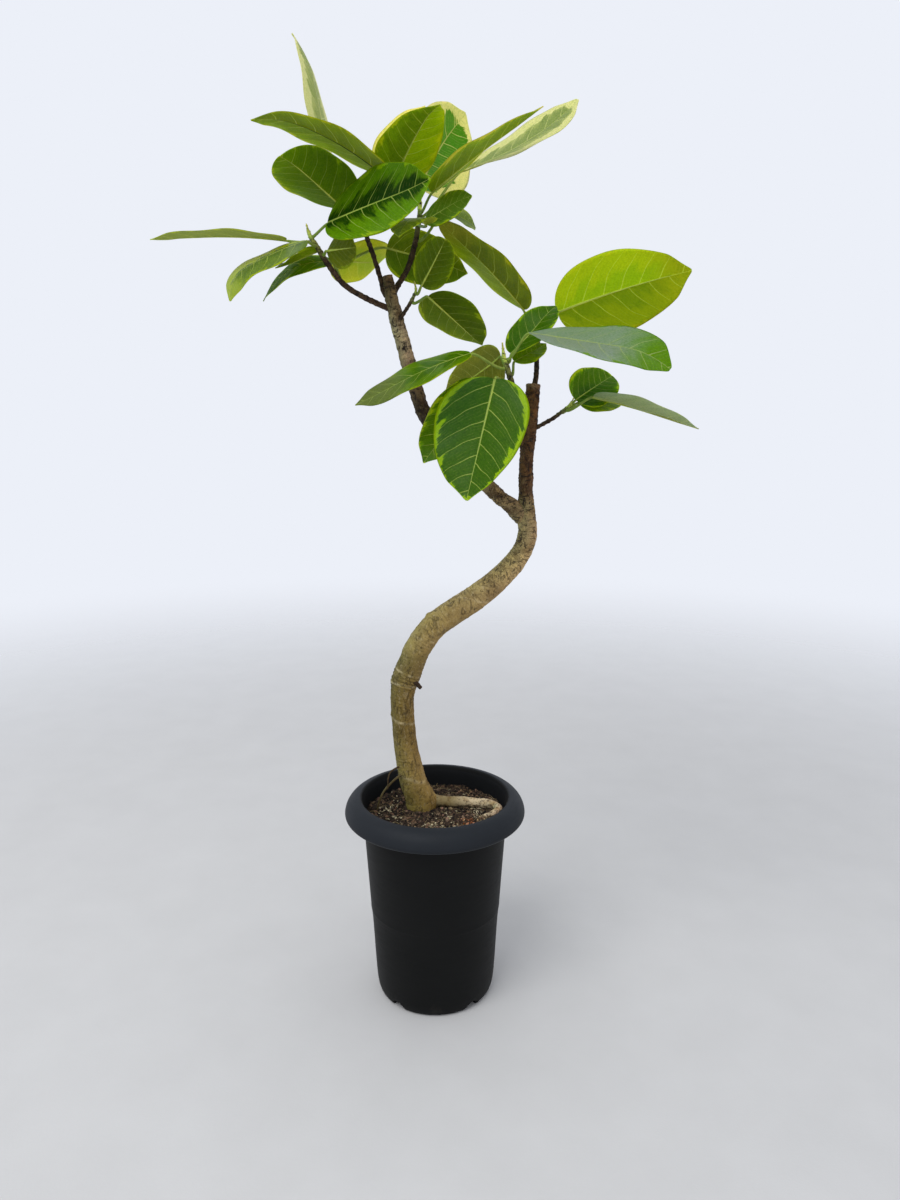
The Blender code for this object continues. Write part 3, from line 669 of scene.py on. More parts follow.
def bark_relief(rings, distance):
    """Slow swells, a finer grain along the stem, thin rings where leaves once stood, tight
    wrinkles inside the lower bend, and the knots as round humps."""
    rough = np.clip((rings[..., 2] - ROUGH_FROM) / ROUGH_OVER, 0, 1)
    out = 0.5 * ripple(rings, 55, 5) + (0.28 + 0.26 * rough) * ripple(rings * (1, 1, 0.35), 12, 6)
    out = out + (0.16 + 0.22 * rough) * ripple(rings, 5, 7) + 0.12 * ripple(rings, 2.6, 18)
    wander = distance + 2.5 * ripple(rings, 60, 8)
    out = out + 0.28 * rings_along(wander, STEM_SCAR_STEP, 1.3)
    out = out + 0.55 * rough * rings_along(wander, ROUGH_SCAR_STEP, 0.9)
    wrinkled = np.exp(-((rings[..., 2] - WRINKLED_AT) / WRINKLED_OVER) ** 2)
    out = out + 0.55 * wrinkled * np.sin(wander * 1.5)
    for x, y, z, wide, high in KNOTS:
        away = np.linalg.norm(rings - (x, y, z), axis=-1)
        out = out + high * np.exp(-(away / wide) ** 2)
    return out


# The bark's tone is carried by its mesh, and gets blotches, patches, flakes, specks, pores,
# ring scars, cracks and splits over it, one after the other.
bark_finish = Finish("bark")
place = bark_finish.where()
own = bark_finish.carried("tone", "Color")
distance, blotched = (bark_finish.carried("ring").part(k) for k in range(2))
aged = blotched * 0.65 + 0.35
dark = own.tinted((0.42, 0.34, 0.28))
light = (blotched * -0.25 + 0.45).mix(own, (0.48, 0.39, 0.24))
along_grain = place.stretched(1, 1, 0.4)
blotches = place.noise(30, 6, 0.65).between(0.47, 0.62) * aged
tone = blotches.mix(own, dark)
patches = place.noise(75, 4, 0.6).between(0.52, 0.62) * aged * 0.6
tone = patches.mix(tone, own.tinted((1.75, 1.65, 1.5)))
flakes = along_grain.noise(300, 6, 0.7, 0.3)
tone = (flakes.between(0.5, 0.7) * 0.8).mix(tone, light)
specks = place.noise(620, 4, 0.7).between(0.46, 0.4) * 0.55
tone = specks.mix(tone, dark)
pores = place.stretched(1, 1, 1.9).cells(240).between(0.22, 0.12)
tone = (pores * 0.5).mix(tone, light)
scars = (distance + place.noise(26, 3) * 9.0).maths("PINGPONG", 2.6).between(0.42, 0.12)
scars = scars * place.noise(55, 3).between(0.44, 0.62)
tone = (scars * 0.55).mix(tone, dark)
cracks = along_grain.noise(120, 7, 0.75, 1.5).between(0.45, 0.38)
tone = (cracks * aged).mix(tone, (0.022, 0.014, 0.01))
splits = place.stretched(1, 1, 2.4).noise(85, 6, 0.7, 0.8).between(0.44, 0.39) * blotched
tone = (splits * 0.75).mix(tone, (0.018, 0.011, 0.008))
relief = flakes - cracks * 0.8 - scars * 0.5 - splits
bark_finish.set(
    base_color=tone, roughness=0.75, specular_ior_level=0.25,
    normal=pores.bump(0.0005, 0.5, relief.bump(0.0016, 0.9)),
)
bark = bark_finish.material
stem_path = np.vstack([STEM[0], smooth_path(STEM[1:], 18)])
stem = limb("trunk_stem", stem_path, 72, STEM_TONES, bark, bark_relief, scars=PALE_SCARS)
part_of_plant(stem, "trunk")
# The left leader swells to a collar where it leaves the stem.
leader_path = smooth_path(LEFT_LEADER, 22)
leader_path[:, 3] += 2.6 * np.exp(-((leader_path[:, 0] - 112) / 7) ** 2)
leader = limb("trunk_left_leader", leader_path, 56, LEADER_TONES, bark, bark_relief)
part_of_plant(leader, "trunk")

# Twigs: thin brown shoots of the last two years, ringed where leaves have dropped, each
# ending in a pointed green sheath round the next leaf.
TWIGS = {
    "left": (
        (-49, 7, 961, 3.8), (-63, 4, 966, 3.6), (-87, -4, 976, 3.5), (-111, -14, 990, 3.4),
        (-129, -26, 1012, 3.3), (-140, -34, 1030, 3.1), (-146, -36, 1039, 2.6),
        (-150, -36, 1047, 2.2), (-153, -35, 1058, 0.6),
    ),
    "upper": (
        (-57, 7, 978, 3.4), (-63, 8, 984, 3.2), (-67, 10, 1000, 3), (-77, 10, 1032, 3),
        (-84, 10, 1052, 3), (-85, 10, 1072, 3), (-80, 10, 1090, 2.8), (-74, 11, 1101, 2.3),
        (-70, 14, 1110, 0.6),
    ),
    "top": (
        (-55, 7, 974, 3.8), (-45, 18, 994, 3.5), (-33, 30, 1016, 3.5), (-24, 31, 1044, 3.4),
        (-19, 26, 1067, 3.2), (-17, 20, 1082, 2.8), (-16, 18, 1090, 2.2), (-15, 15, 1099, 0.6),
    ),
    "centre": (
        (-46, 5, 946, 2.6), (-35, -8, 959, 2.3), (-24, -19, 975, 2.1), (-21, -23, 983, 1.6),
        (-23, -24, 993, 0.6),
    ),
    "front": (
        (123, 6, 804, 4), (112, -12, 836, 3.8), (98, -36, 873, 3.7), (91, -45, 893, 3.1),
        (88, -47, 902, 2.4), (86, -48, 918, 0.6),
    ),
    "right": (
        (130, 8, 858, 3.6), (134, 10, 881, 3.3), (135, 20, 909, 3.2), (138, 33, 934, 3),
        (138, 38, 946, 2.4), (139, 42, 960, 0.6),
    ),
    "side": (
        (122, 4, 806, 3), (134, 4, 813, 2.6), (158, 0, 827, 2.5), (172, -2, 838, 2.3),
        (177, -3, 843, 1.8), (182, -5, 852, 0.6),
    ),
}
TWIG_BROWN = (0.052, 0.029, 0.014)
TWIG_GREEN = (0.17, 0.2, 0.045)
BUD_GREEN = (0.38, 0.5, 0.08)


def twig_relief(rings, distance):
    """Close rings where leaves have dropped, and fine wrinkles along the shoot."""
    out = 0.24 * ripple(rings, 6, 11) + 0.1 * ripple(rings * (1, 1, 0.3), 2.5, 12)
    wander = distance + 0.8 * ripple(rings, 20, 13)
    return out + 0.55 * rings_along(wander, TWIG_SCAR_STEP, 0.8)


twig_lines = {}
for twig_name, rows in TWIGS.items():
    twig_lines[twig_name] = smooth_path(rows, 2)
    low, bud, peak = rows[0][2], rows[-3][2], rows[-1][2]
    tones = (
        (low, TWIG_BROWN), (0.3 * low + 0.7 * bud, TWIG_BROWN), (bud, TWIG_GREEN),
        (bud + 3, BUD_GREEN), (peak, (0.5, 0.48, 0.1)),
    )
    path = smooth_path(rows, 12)
    path[:, 3] += 1.6 * np.exp(-np.linalg.norm(path[:, :3] - path[0, :3], axis=1) / 4)
    twig = limb("trunk_twig_" + twig_name, path, 28, tones, bark, twig_relief, cut=False)
    part_of_plant(twig, "trunk")

# Roots: one thick pale root that has surfaced and curls along the pot's wall, two thin
# aerial roots that hang from the stem, and the brown stub of a lost branch.
ROOTS = {
    "surface": (
        (-18, 26, 282, 12), (-1, 24, 279, 9.2), (14, 23, 278, 8.0), (30, 22, 277.5, 7.8),
        (64, 20, 277, 6.9), (84, 14, 276, 6.4), (91, 3, 275.5, 5.8), (82, -9, 274, 4.8),
        (66, -15, 271, 3.0),
    ),
    "aerial": (
        (-40, 9, 330, 1.9), (-50, 4, 326, 1.7), (-61, 0, 318, 1.6), (-73, -2, 304, 1.5),
        (-80, -2, 288, 1.4), (-83, 2, 274, 1.3),
    ),
    "hanging": (
        (-42, 9, 341, 1.6), (-53, 3, 339, 1.3), (-62, -3, 335, 1.2), (-66, -4, 326, 1.1),
        (-67, -4, 309, 0.8),
    ),
    "stub": ((-38, -2, 473, 4.6), (-30, -9, 471, 4), (-24, -10, 467, 3.2), (-19, -10, 461, 2.8)),
}
ROOT_TONES = {
    "surface": (0.53, 0.42, 0.26), "aerial": (0.22, 0.17, 0.085),
    "hanging": (0.15, 0.1, 0.055), "stub": (0.075, 0.042, 0.024),
}


def root_relief(rings, distance):
    """Uneven swelling with shallow pits."""
    return 0.22 * ripple(rings, 5, 15) + 0.6 * ripple(rings, 24, 16)


def thin_root_relief(rings, distance):
    """Slight unevenness."""
    return 0.15 * ripple(rings, 5, 17)


# Roots are darker and greener near the stem, grimy where they meet the soil, and speckled
# more and more towards the right.
root_finish = Finish("root_skin")
place = root_finish.where()
own = root_finish.carried("tone", "Color")
x, up = place.part(0), place.part(2)
tone = (x.between(0.062, 0.018) * 0.95).mix(own, own.tinted((0.36, 0.34, 0.22)))
tone = place.noise(90, 5).between(0.45, 0.7).mix(tone, tone.tinted((0.66, 0.56, 0.42)))
low_down = up.between(0.2795, 0.2745)
grime = place.stretched(1, 1, 1.4).noise(120, 6, 0.7) + low_down * 0.13
tone = (grime.between(0.56, 0.66) * 0.8).mix(tone, (0.075, 0.048, 0.026))
speckle = place.noise(300, 7, 0.8) - x.graded(0.58, 0.515, 0.0, 0.085)
root_finish.set(
    base_color=speckle.between(0.0, 0.06).mix(tone, (0.035, 0.02, 0.012)),
    roughness=0.8, specular_ior_level=0.25,
    normal=place.noise(420, 5).bump(0.0012, 0.7),
)
for root_name, rows in ROOTS.items():
    thick = rows[0][3] > 3
    tone = ROOT_TONES[root_name]
    root = limb(
        "trunk_root_" + root_name, smooth_path(rows, 18), 36 if thick else 14,
        ((0, tone), (1000, tone)), root_finish.material,
        root_relief if thick else thin_root_relief,
        upright=(0, 0, 1) if root_name == "surface" else (0, 1, 0), cut=root_name == "stub",
    )
    part_of_plant(root, "trunk")

# Leaves: thick leathery blades on round stalks. Each has a green middle in several greens
# and an uneven yellow border, pale veins, a glossy face above and a dull one below.
# A row is one leaf on that twig: the height of the stalk's foot, the blade's base and tip
# and its width in millimetres, its roll, droop, hook, fold and twist in degrees, how far
# along it is widest, and its group of greens.
LEAVES = {"top": (
    (1086, (-17, 26, 1112), (43, 140, 1231), 112, 75, -20, -10, 15, -5, .45, "lime"),
    (1081, (-1, -22, 1096), (130, -60, 1181), 98, 10, 10, -5, 8, -15, .4, "fresh"),
    (1077, (36, 26, 1132), (182, 32, 1216), 102, 25, -25, -5, 5, -10, .55, "pale"),
    (1075, (-9, -20, 1064), (48, -45, 1087), 44, 62, 5, 15, 0, -5, .45, "deep"),
    (1068, (-8, -34, 1058), (-37, -100, 1031), 52, 0, 70, 0, 0, -10, .4, "deep"),
    (1050, (16, 20, 1084), (55, 58, 1070), 36, 55, 10, 10, 10, -10, .45, "grey"),
), "upper": (
    (1086, (-52, 22, 1114), (-10, 36, 1210), 79, 40, 38, 0, 12, 0, .34, "lime"),
    (1092, (-44, -17, 1116), (11, -97, 1171), 78, -5, 20, 25, 2, -15, .3, "fresh"),
    (1098, (-58, -17, 1116), (-203, -96, 1156), 112, -5, 30, 15, 0, -15, .35, "fresh"),
    (1062, (-110, -3, 1081), (-170, -102, 1117), 90, 15, 5, 10, 10, -30, .4, "deep"),
    (1076, (-134, 31, 1135), (-181, 79, 1307.7), 90, 35, 15, 15, -5, 0, .35, "pale"),
), "centre": (
    (979, (-14, -29, 986), (16, -70, 1034), 50, -50, 15, 5, 15, -5, .4, "fresh"),
    (970, (-6, -27, 975), (64, 37, 920), 76, -15, 0, 0, 5, -15, .4, "fresh"),
), "left": (
    (1041, (-125, -54, 1055), (0, -117, 1090), 98, 65, 5, -10, 5, -30, .4, "deep"),
    (1039, (-177, -36, 1039), (-332, -74, 1033), 96, -5, 15, -5, 5, -5, .45, "deep"),
    (1033, (-151, -56, 1035), (-236, -94, 961), 80, -15, 15, 55, -5, -5, .5, "lime"),
    (1016, (-127, -8, 1017), (-217, 5, 972), 62, -30, 80, -10, 0, -5, .4, "deep"),
    (1026, (-141, -15, 1031), (-196, -18, 1009), 52, -5, 0, -10, 10, 20, .4, "deep"),
    (1022, (-128, -42, 1025), (-88, -83, 1023), 46, -85, -10, 0, 20, -20, .4, "grey"),
    (996, (-127, 8, 1025), (-66, 89, 1038), 76, -40, -25, -10, 0, -5, .45, "lime"),
    (1004, (-61, 41, 1042), (45, 66, 1014), 68, -92, -15, -20, 4, 15, .35, "fresh"),
), "front": (
    (866, (76, -80, 874), (41, -128, 731), 120, -15, 0, 0, 15, -15, .4, "deep"),
    (872, (56, -49, 873), (-12, -56, 771), 80, -40, -10, 0, 10, 0, .45, "deep"),
    (882, (85, -31, 902), (15, 26, 857), 66, 85, 40, -5, 15, 5, .45, "grey"),
    (889, (47, -68, 904), (-95, -69, 842), 92, -20, 20, -10, 0, 5, .45, "lime"),
    (893, (97, -44, 905), (155, -16, 964), 58, 25, -15, 20, 10, -10, .45, "deep"),
    (877, (102, -35, 896), (144, -10, 919), 38, 35, 5, -10, 10, 15, .4, "deep"),
    (897, (117, -67, 928), (275, -132, 882), 95, 25, 0, 30, 5, -20, .55, "grey"),
), "right": (
    (934, (120, 50, 966), (6, -18, 1068), 104, -5, 15, -10, 5, 0, .45, "fresh"),
    (942, (161, 29, 961), (320, -29, 1005), 114, -55, 20, 0, -5, 5, .4, "lime"),
), "side": (
    (841, (185, 3, 849), (238, 40, 881), 64, 45, 10, -5, 10, 10, .45, "deep"),
    (838, (204, -19, 853), (335, -46, 813), 84, 10, 10, -5, 10, 5, .45, "grey"),
    (834, (189, 7, 846), (249, 37, 848), 48, 45, 10, 5, 10, 5, .4, "deep"),
)}
# The finish of each group: the dark and the light green of the face above, the tone of the
# border and of the face below, how far out the dark green reaches, and how much the border
# takes, both as shares of the way from the midrib to the margin.
GREENS = {
    "deep": dict(dark=(0.022, 0.093, 0.0015), light=(0.055, 0.2, 0.002),
        rim=(0.28, 0.45, 0.005), below=(0.085, 0.138, 0.0012), reach=0.85, border=0.09),
    "fresh": dict(dark=(0.03, 0.115, 0.0015), light=(0.062, 0.22, 0.002),
        rim=(0.32, 0.48, 0.005), below=(0.137, 0.207, 0.0012), reach=0.6, border=0.08),
    "lime": dict(dark=(0.05, 0.2, 0.004), light=(0.14, 0.33, 0.005), rim=(0.54, 0.62, 0.018),
        below=(0.4, 0.515, 0.003), reach=0.4, border=0.25),
    "pale": dict(dark=(0.12, 0.195, 0.07), light=(0.26, 0.33, 0.12), rim=(0.78, 0.73, 0.3),
        below=(0.44, 0.46, 0.11), reach=0.45, border=0.42),
    # Painted sheen: the grey group's greyer, bluer greens are the sky's sheen on those leaves, put
    # into their colour.
    "grey": dict(dark=(0.052, 0.12, 0.03), light=(0.1, 0.185, 0.06), rim=(0.25, 0.4, 0.013),
        below=(0.13, 0.165, 0.013), reach=0.6, border=0.08),
}
# Leaves that differ from their group. The halves entry holds what the tone is multiplied by
# on either side of the midrib: painted light and shade, one half lit and the other shaded as
# the blade folds. far is the colour of the blade's end, past the share far_from of its
# length. lean is how much more border one half has. At the tip the border is tip_edge times
# narrower. soft is half the width of the change from dark to light, sheen how strongly the
# face mirrors, and rib the colour of the midrib.
OWN_GREENS = {
    "leaf_top_1": dict(dark=(0.015, 0.13, 0.003), light=(0.024, 0.165, 0.003),
        rim=(1.0, 0.86, 0.28), reach=0.6, border=0.38, tip_edge=3.0),
    "leaf_top_2": dict(rim=(0.62, 0.48, 0.05), below=(0.134, 0.178, 0.002), border=0.14),
    "leaf_top_4": dict(dark=(0.04, 0.115, 0.01), light=(0.078, 0.21, 0.012)),
    "leaf_top_5": dict(dark=(0.045, 0.122, 0.01), light=(0.105, 0.26, 0.012),
        below=(0.125, 0.168, 0.01), painted_light_halves=((1.2, 1.08, 4), (1.5, 1.3, 2))),
    "leaf_top_6": dict(below=(0.3, 0.37, 0.025)),
    "leaf_upper_1": dict(rim=(1.0, 0.81, 0.17), reach=0.5, border=0.62),
    "leaf_upper_2": dict(painted_light_halves=((0.64, 0.69, 0.6), (1.45, 1.35, 1.2))),
    "leaf_upper_3": dict(painted_light_halves=((0.84, 0.8, 0.5), (0.74, 0.66, 0.4)), rib=(0.12, 0.16, 0.02),
        sheen=0.1),
    "leaf_upper_4": dict(painted_light_halves=((1.2, 1.2, 1.2), (1.0, 1.08, 0.5)), border=0.04),
    "leaf_centre_1": dict(below=(0.085, 0.12, 0.0015)),
    "leaf_centre_2": dict(below=(0.075, 0.102, 0.0012),
        painted_light_halves=((0.85, 0.9, 1), (1.5, 1.45, 5))),
    "leaf_left_1": dict(dark=(0.003, 0.03, 0.001), light=(0.055, 0.2, 0.002),
        rim=(0.17, 0.39, 0.003), reach=0.42, border=0.05, sheen=0.06, soft=0.16,
        painted_light_halves=((1.3, 1.05, 1), (0.8, 0.7, 0.6))),
    "leaf_left_2": dict(dark=(0.11, 0.18, 0.05), light=(0.14, 0.21, 0.06),
        below=(0.092, 0.15, 0.04)),
    "leaf_left_3": dict(dark=(0.045, 0.1, 0.04), light=(0.065, 0.13, 0.045),
        rim=(0.26, 0.36, 0.01), border=0.05, lean=0.75, far=(0.28, 0.39, 0.025),
        far_from=0.86),
    "leaf_left_4": dict(dark=(0.018, 0.085, 0.003), light=(0.042, 0.16, 0.004), sheen=0.01),
    "leaf_left_5": dict(below=(0.17, 0.205, 0.01)),
    "leaf_left_6": dict(below=(0.085, 0.115, 0.002)),
    "leaf_left_7": dict(below=(0.5, 0.46, 0.03)),
    "leaf_left_8": dict(below=(0.056, 0.075, 0.001), painted_light_halves=((1, 1, 1), (0.85, 1.0, 2))),
    "leaf_front_1": dict(dark=(0.021, 0.086, 0.004), light=(0.036, 0.13, 0.006),
        rim=(0.22, 0.42, 0.004), reach=0.9, border=0.12),
    "leaf_front_3": dict(below=(0.115, 0.125, 0.018)),
    # Painted sheen: far greys the end of this blade, where it mirrors the sky.
    "leaf_front_4": dict(dark=(0.024, 0.1, 0.002), light=(0.05, 0.155, 0.003),
        rim=(0.24, 0.38, 0.008), reach=0.5, border=0.08,
        painted_light_halves=((0.95, 0.95, 1), (1.0, 0.9, 1)), far=(0.085, 0.13, 0.03), far_from=0.62,
        sheen=0.03),
    # Painted sheen: this blade's grey-blue greens are the sky's sheen on it, and far is its plain
    # green tip.
    "leaf_front_7": dict(dark=(0.17, 0.26, 0.3), light=(0.19, 0.29, 0.32),
        rim=(0.1, 0.24, 0.03), reach=0.8, border=0.05, painted_light_halves=((1, 1, 1), (0.93, 1.03, 0.8)),
        far=(0.072, 0.185, 0.001), far_from=0.72, sheen=0.12),
    "leaf_right_1": dict(painted_light_halves=((1.3, 1.1, 6), (0.75, 0.62, 0.8)), far=(0.115, 0.145, 0.016),
        far_from=0.78),
    "leaf_right_2": dict(rim=(0.48, 0.6, 0.006), below=(0.5, 0.72, 0.003), border=0.05,
        painted_light_halves=((1, 1, 1), (0.5, 0.47, 0.5)), far=(0.17, 0.25, 0.002), far_from=0.8),
    "leaf_front_2": dict(dark=(0.03, 0.115, 0.0015), light=(0.075, 0.24, 0.002)),
    "leaf_front_6": dict(dark=(0.045, 0.14, 0.0015), light=(0.085, 0.25, 0.002)),
    "leaf_side_3": dict(dark=(0.032, 0.125, 0.002), light=(0.078, 0.27, 0.002)),
    # Painted sheen: this blade's pale grey-green is the sky's sheen on it.
    "leaf_side_2": dict(dark=(0.145, 0.24, 0.15), light=(0.17, 0.28, 0.175),
        rim=(0.22, 0.32, 0.1)),
}
# Leaves that end in a broad round, with no point.
ROUND_LEAVES = ("leaf_upper_4", "leaf_centre_1", "leaf_side_1", "leaf_side_3")
STALK_GREEN = (0.24, 0.34, 0.055)
RIB_PALE = (0.55, 0.64, 0.1)
# How much light shines through a blade and through a stalk.
BLADE_GLOW, STALK_GLOW = 0.46, 0.35
BLADE_THICKNESS = 0.9
# A stalk starts a gap off its twig's bark and runs square out over its foot, both in
# millimetres. Its curve turns into the midrib as widely as the ease says.
STALK_GAP, STALK_FOOT, STALK_EASE = 0.6, 1.5, 0.5
# Radii in millimetres of the foot's two ends, of the stalk with how much it thins, and of
# the midrib's two ends. The midrib stops at a share of the blade's length.
FOOT_RADII = (2.3, 2.2)
STALK_RADIUS, STALK_TAPER = 1.9, 0.4
RIB_RADII = (1.3, 0.45)
RIB_END = 0.85
# Outlines of blades: how full they are, from where the tip is drawn in and how deeply, and
# from where the blade hooks down, as shares of its length.
ROUND_POWER, POINTED_POWER = 0.89, 1.15
POINT_FROM, POINT_DEPTH = 0.86, 0.42
HOOK_FROM = 0.6
# The margin's wave as a share of the width, and how much thinner the blade is there. Then in
# millimetres: the least half width, how high blades puff between veins, and how wide and
# deep the groove above and the rib below are.
MARGIN_WAVE, MARGIN_THINNING = 0.01, 0.45
LEAST_HALF, VEIN_PUFF = 0.8, 0.28
GROOVE_WIDTH, GROOVE_DEPTH, RIB_DEPTH = 1.3, 0.45, 0.9
# A side vein leaves the midrib at this slope and bends forward by the curve. Veins lie a
# space apart along the midrib, and those of one half are shifted by a share of it.
VEIN_SLOPE, VEIN_CURVE, VEIN_SPACE, VEIN_SHIFT = 0.48, 1.2, 0.145, 0.43
BLADE_ROWS, HALF_COLUMNS = 84, 19
SEED_STEP = 3.7


def half_width(u, widest, is_round):
    """Half the blade's width along u, 0 at the base and 1 at the tip, widest as 1: a power
    of u times a power of 1 - u, drawn in to a point over the last seventh unless round."""
    power = ROUND_POWER if is_round else POINTED_POWER
    bulge = (u / widest) ** (power * widest) * ((1 - u) / (1 - widest)) ** (power * (1 - widest))
    point = np.clip((u - POINT_FROM) / (1 - POINT_FROM), 0, 1)
    return bulge * (1 - (0 if is_round else POINT_DEPTH) * point ** 2 * (3 - 2 * point))


def bend(u, droop, hook):
    """The blade's downward turn at u: even droop, and a hook in the last stretch."""
    last = np.clip((u - HOOK_FROM) / (1 - HOOK_FROM), 0, 1)
    return -(droop * u + hook * last ** 2 * (3 - 2 * last))


def blade_frame(u, base, tip, roll, droop, hook, twist):
    """Midrib point, side, top and forward directions at each u, in millimetres. The bend is
    added up along the midrib, then the curve is turned and scaled to end at the tip."""
    chord = tip - base
    along = chord / np.linalg.norm(chord)
    up = np.array([0, 0, 1.0]) - along[2] * along
    up /= np.linalg.norm(up)
    across = np.cross(along, up)
    up = cos(roll) * up + sin(roll) * across
    across = np.cross(along, up)
    fine = np.linspace(0, 1, 201)
    angle = bend((fine[1:] + fine[:-1]) / 2, droop, hook)
    run = np.concatenate([[0], np.cumsum(np.cos(angle))]) / 200
    rise = np.concatenate([[0], np.cumsum(np.sin(angle))]) / 200
    turn = np.arctan2(rise[-1], run[-1])
    size = np.linalg.norm(chord) / np.hypot(run[-1], rise[-1])
    run, rise = np.interp(u, fine, run), np.interp(u, fine, rise)
    ahead = (run * cos(turn) + rise * sin(turn)) * size
    lift = (rise * cos(turn) - run * sin(turn)) * size
    angle = bend(u, droop, hook) - turn
    middle = base + ahead[:, None] * along + lift[:, None] * up
    normal = np.cos(angle)[:, None] * up - np.sin(angle)[:, None] * along
    forward = np.cos(angle)[:, None] * along + np.sin(angle)[:, None] * up
    spin = (twist * (u - 0.5))[:, None]
    side = np.cos(spin) * across + np.sin(spin) * normal
    top = np.cos(spin) * normal - np.sin(spin) * across
    return middle, side, top, forward, size


def joint_on(twig, height):
    """Centre, direction and radius of a twig at a height."""
    line = twig_lines[twig]
    here = np.array([np.interp(height, line[:, 2], line[:, k]) for k in range(4)])
    ahead = np.array([np.interp(height + 4, line[:, 2], line[:, k]) for k in range(3)])
    direction = ahead - here[:3]
    return here[:3], direction / np.linalg.norm(direction), here[3]


def leaf_finish(
    name, seed, dark, light, rim, below, reach, border, lean=0, painted_light_halves=None,
    far=None, far_from=1, sheen=0.15, soft=0.11, tip_edge=5.0,
):
    """A blade's material. Its mesh carries place: distance along the midrib, distance from
    it, both as shares of the blade's length, and the face, 1 above and -1 below; and share:
    how far out a point lies, 0 on the midrib and 1 on the margin. Side veins lie where
    (along - slope times out - curve times out squared) / space is whole, with a slow wobble,
    and thin veins at each fifth of the way from one to the next."""
    finish = Finish(name)
    along, across, face = (finish.carried("place").part(k) for k in range(3))
    share = finish.carried("share").part(0)
    out, right = across.maths("ABSOLUTE"), across.maths("GREATER_THAN")
    spot = finish.point(along, across, seed)
    vein = (along - out * VEIN_SLOPE - out * out * VEIN_CURVE) / VEIN_SPACE
    vein = vein + right * VEIN_SHIFT + spot.noise(4.5, 1) * 0.45
    side_veins = (vein.maths("PINGPONG", 0.5) / share.graded(0.034, 0.013)).between(1.1, 0.4)
    side_veins = side_veins * share.between(0.96, 0.84)
    thin_veins = (vein * 5.0).maths("PINGPONG", 0.5).between(0.12, 0.03)
    thin_veins = thin_veins * spot.noise(22, 3).between(0.42, 0.6) * 0.13
    midrib = (out / (along * -1 + 1.15)).between(0.0115, 0.006)
    veins = side_veins.larger(thin_veins).larger(midrib)

    # Colour steps twice from one side vein to the next. Between the steps it runs out along
    # the veins, so its noise is stretched that way.
    strip = finish.point((vein * 2.0).maths("FLOOR"), right, seed)
    step = finish.node("TexWhiteNoise", {"Vector": strip}, "Value") - 0.5
    feather = finish.point(vein * 1.5, across * 4.0, seed).noise(1.5, 4, 0.6) - 0.5
    green = share + step * 0.42 + feather * 1.1
    green = green.between(reach - soft, reach + soft)
    edge = share.larger(along * tip_edge + (1 - tip_edge))
    edge = edge + step * 0.16 + feather * 0.5 + right * lean
    edge = edge.between(1 - border - 0.02, 1 - border + 0.02)
    line = share.between(0.955, 0.985)
    upper = edge.larger(line * 0.8).mix(green.mix(dark, light), rim)
    lower = (green * 0.35).mix(tuple(0.78 * c for c in below), below)
    lower = (edge * 0.45).larger(line * 0.7).mix(lower, rim)
    vein_above = tuple(0.2 * a + 0.4 * b + c for a, b, c in zip(light, rim, (0.3, 0.32, 0.12)))
    vein_below = tuple(1.2 * c + d for c, d in zip(below, (0.16, 0.175, 0.08)))
    at_end = (along + feather * 0.25).between(far_from - 0.15, far_from + 0.15)
    on_side = across.between(-0.006, 0.006)

    def dressed(plain, vein_tone, strength):
        """One face with the painted light and shade of its halves, its far end and its veins,
        which follow that painted light and shade half as much."""
        if painted_light_halves:
            greys = [(half[1] ** 0.5,) * 3 for half in painted_light_halves]
            plain = plain.tinted(on_side.mix(painted_light_halves[1], painted_light_halves[0]))
            vein_tone = on_side.mix(greys[1], greys[0]).tinted(vein_tone)
        if far:
            plain = at_end.mix(plain, far)
        return (veins * strength).mix(plain, vein_tone)

    above = face.between(-0.15, 0.15)
    tone = above.mix(dressed(lower, vein_below, 0.72), dressed(upper, vein_above, 0.78))
    where = finish.where()
    mottle = where.noise(420, 5, 0.75).between(0.44, 0.58)
    tone = mottle.mix(tone, tone.tinted((0.62, 0.74, 0.6)))
    dullness = where.noise(60, 5) * 0.2 + above.graded(0.5, 0.24)
    relief = where.cells(520) * 0.25 - veins
    finish.set(
        base_color=tone, roughness=dullness, specular_ior_level=sheen,
        normal=relief.bump(0.0006, 0.45),
    )
    # Light passes both faces, so each lets through the root of the colour that is wanted.
    bright = tone.tinted((7.0, 4.8, 1.8))
    bright.socket.node.clamp_result = True
    finish.glow(bright.into("Gamma", {"Gamma": 0.5}), BLADE_GLOW)
    return finish.material


stalk_finish = Finish("leaf_stalk")
place = stalk_finish.where()
own = stalk_finish.carried("tone", "Color")
tone = place.noise(160, 4).between(0.4, 0.65).mix(own, own.tinted((1.25, 1.15, 1.3)))
stalk_finish.set(
    base_color=tone, roughness=0.5, specular_ior_level=0.2,
    normal=place.noise(900, 3).bump(0.0003, 0.4),
)
stalk_finish.glow(tone, STALK_GLOW)


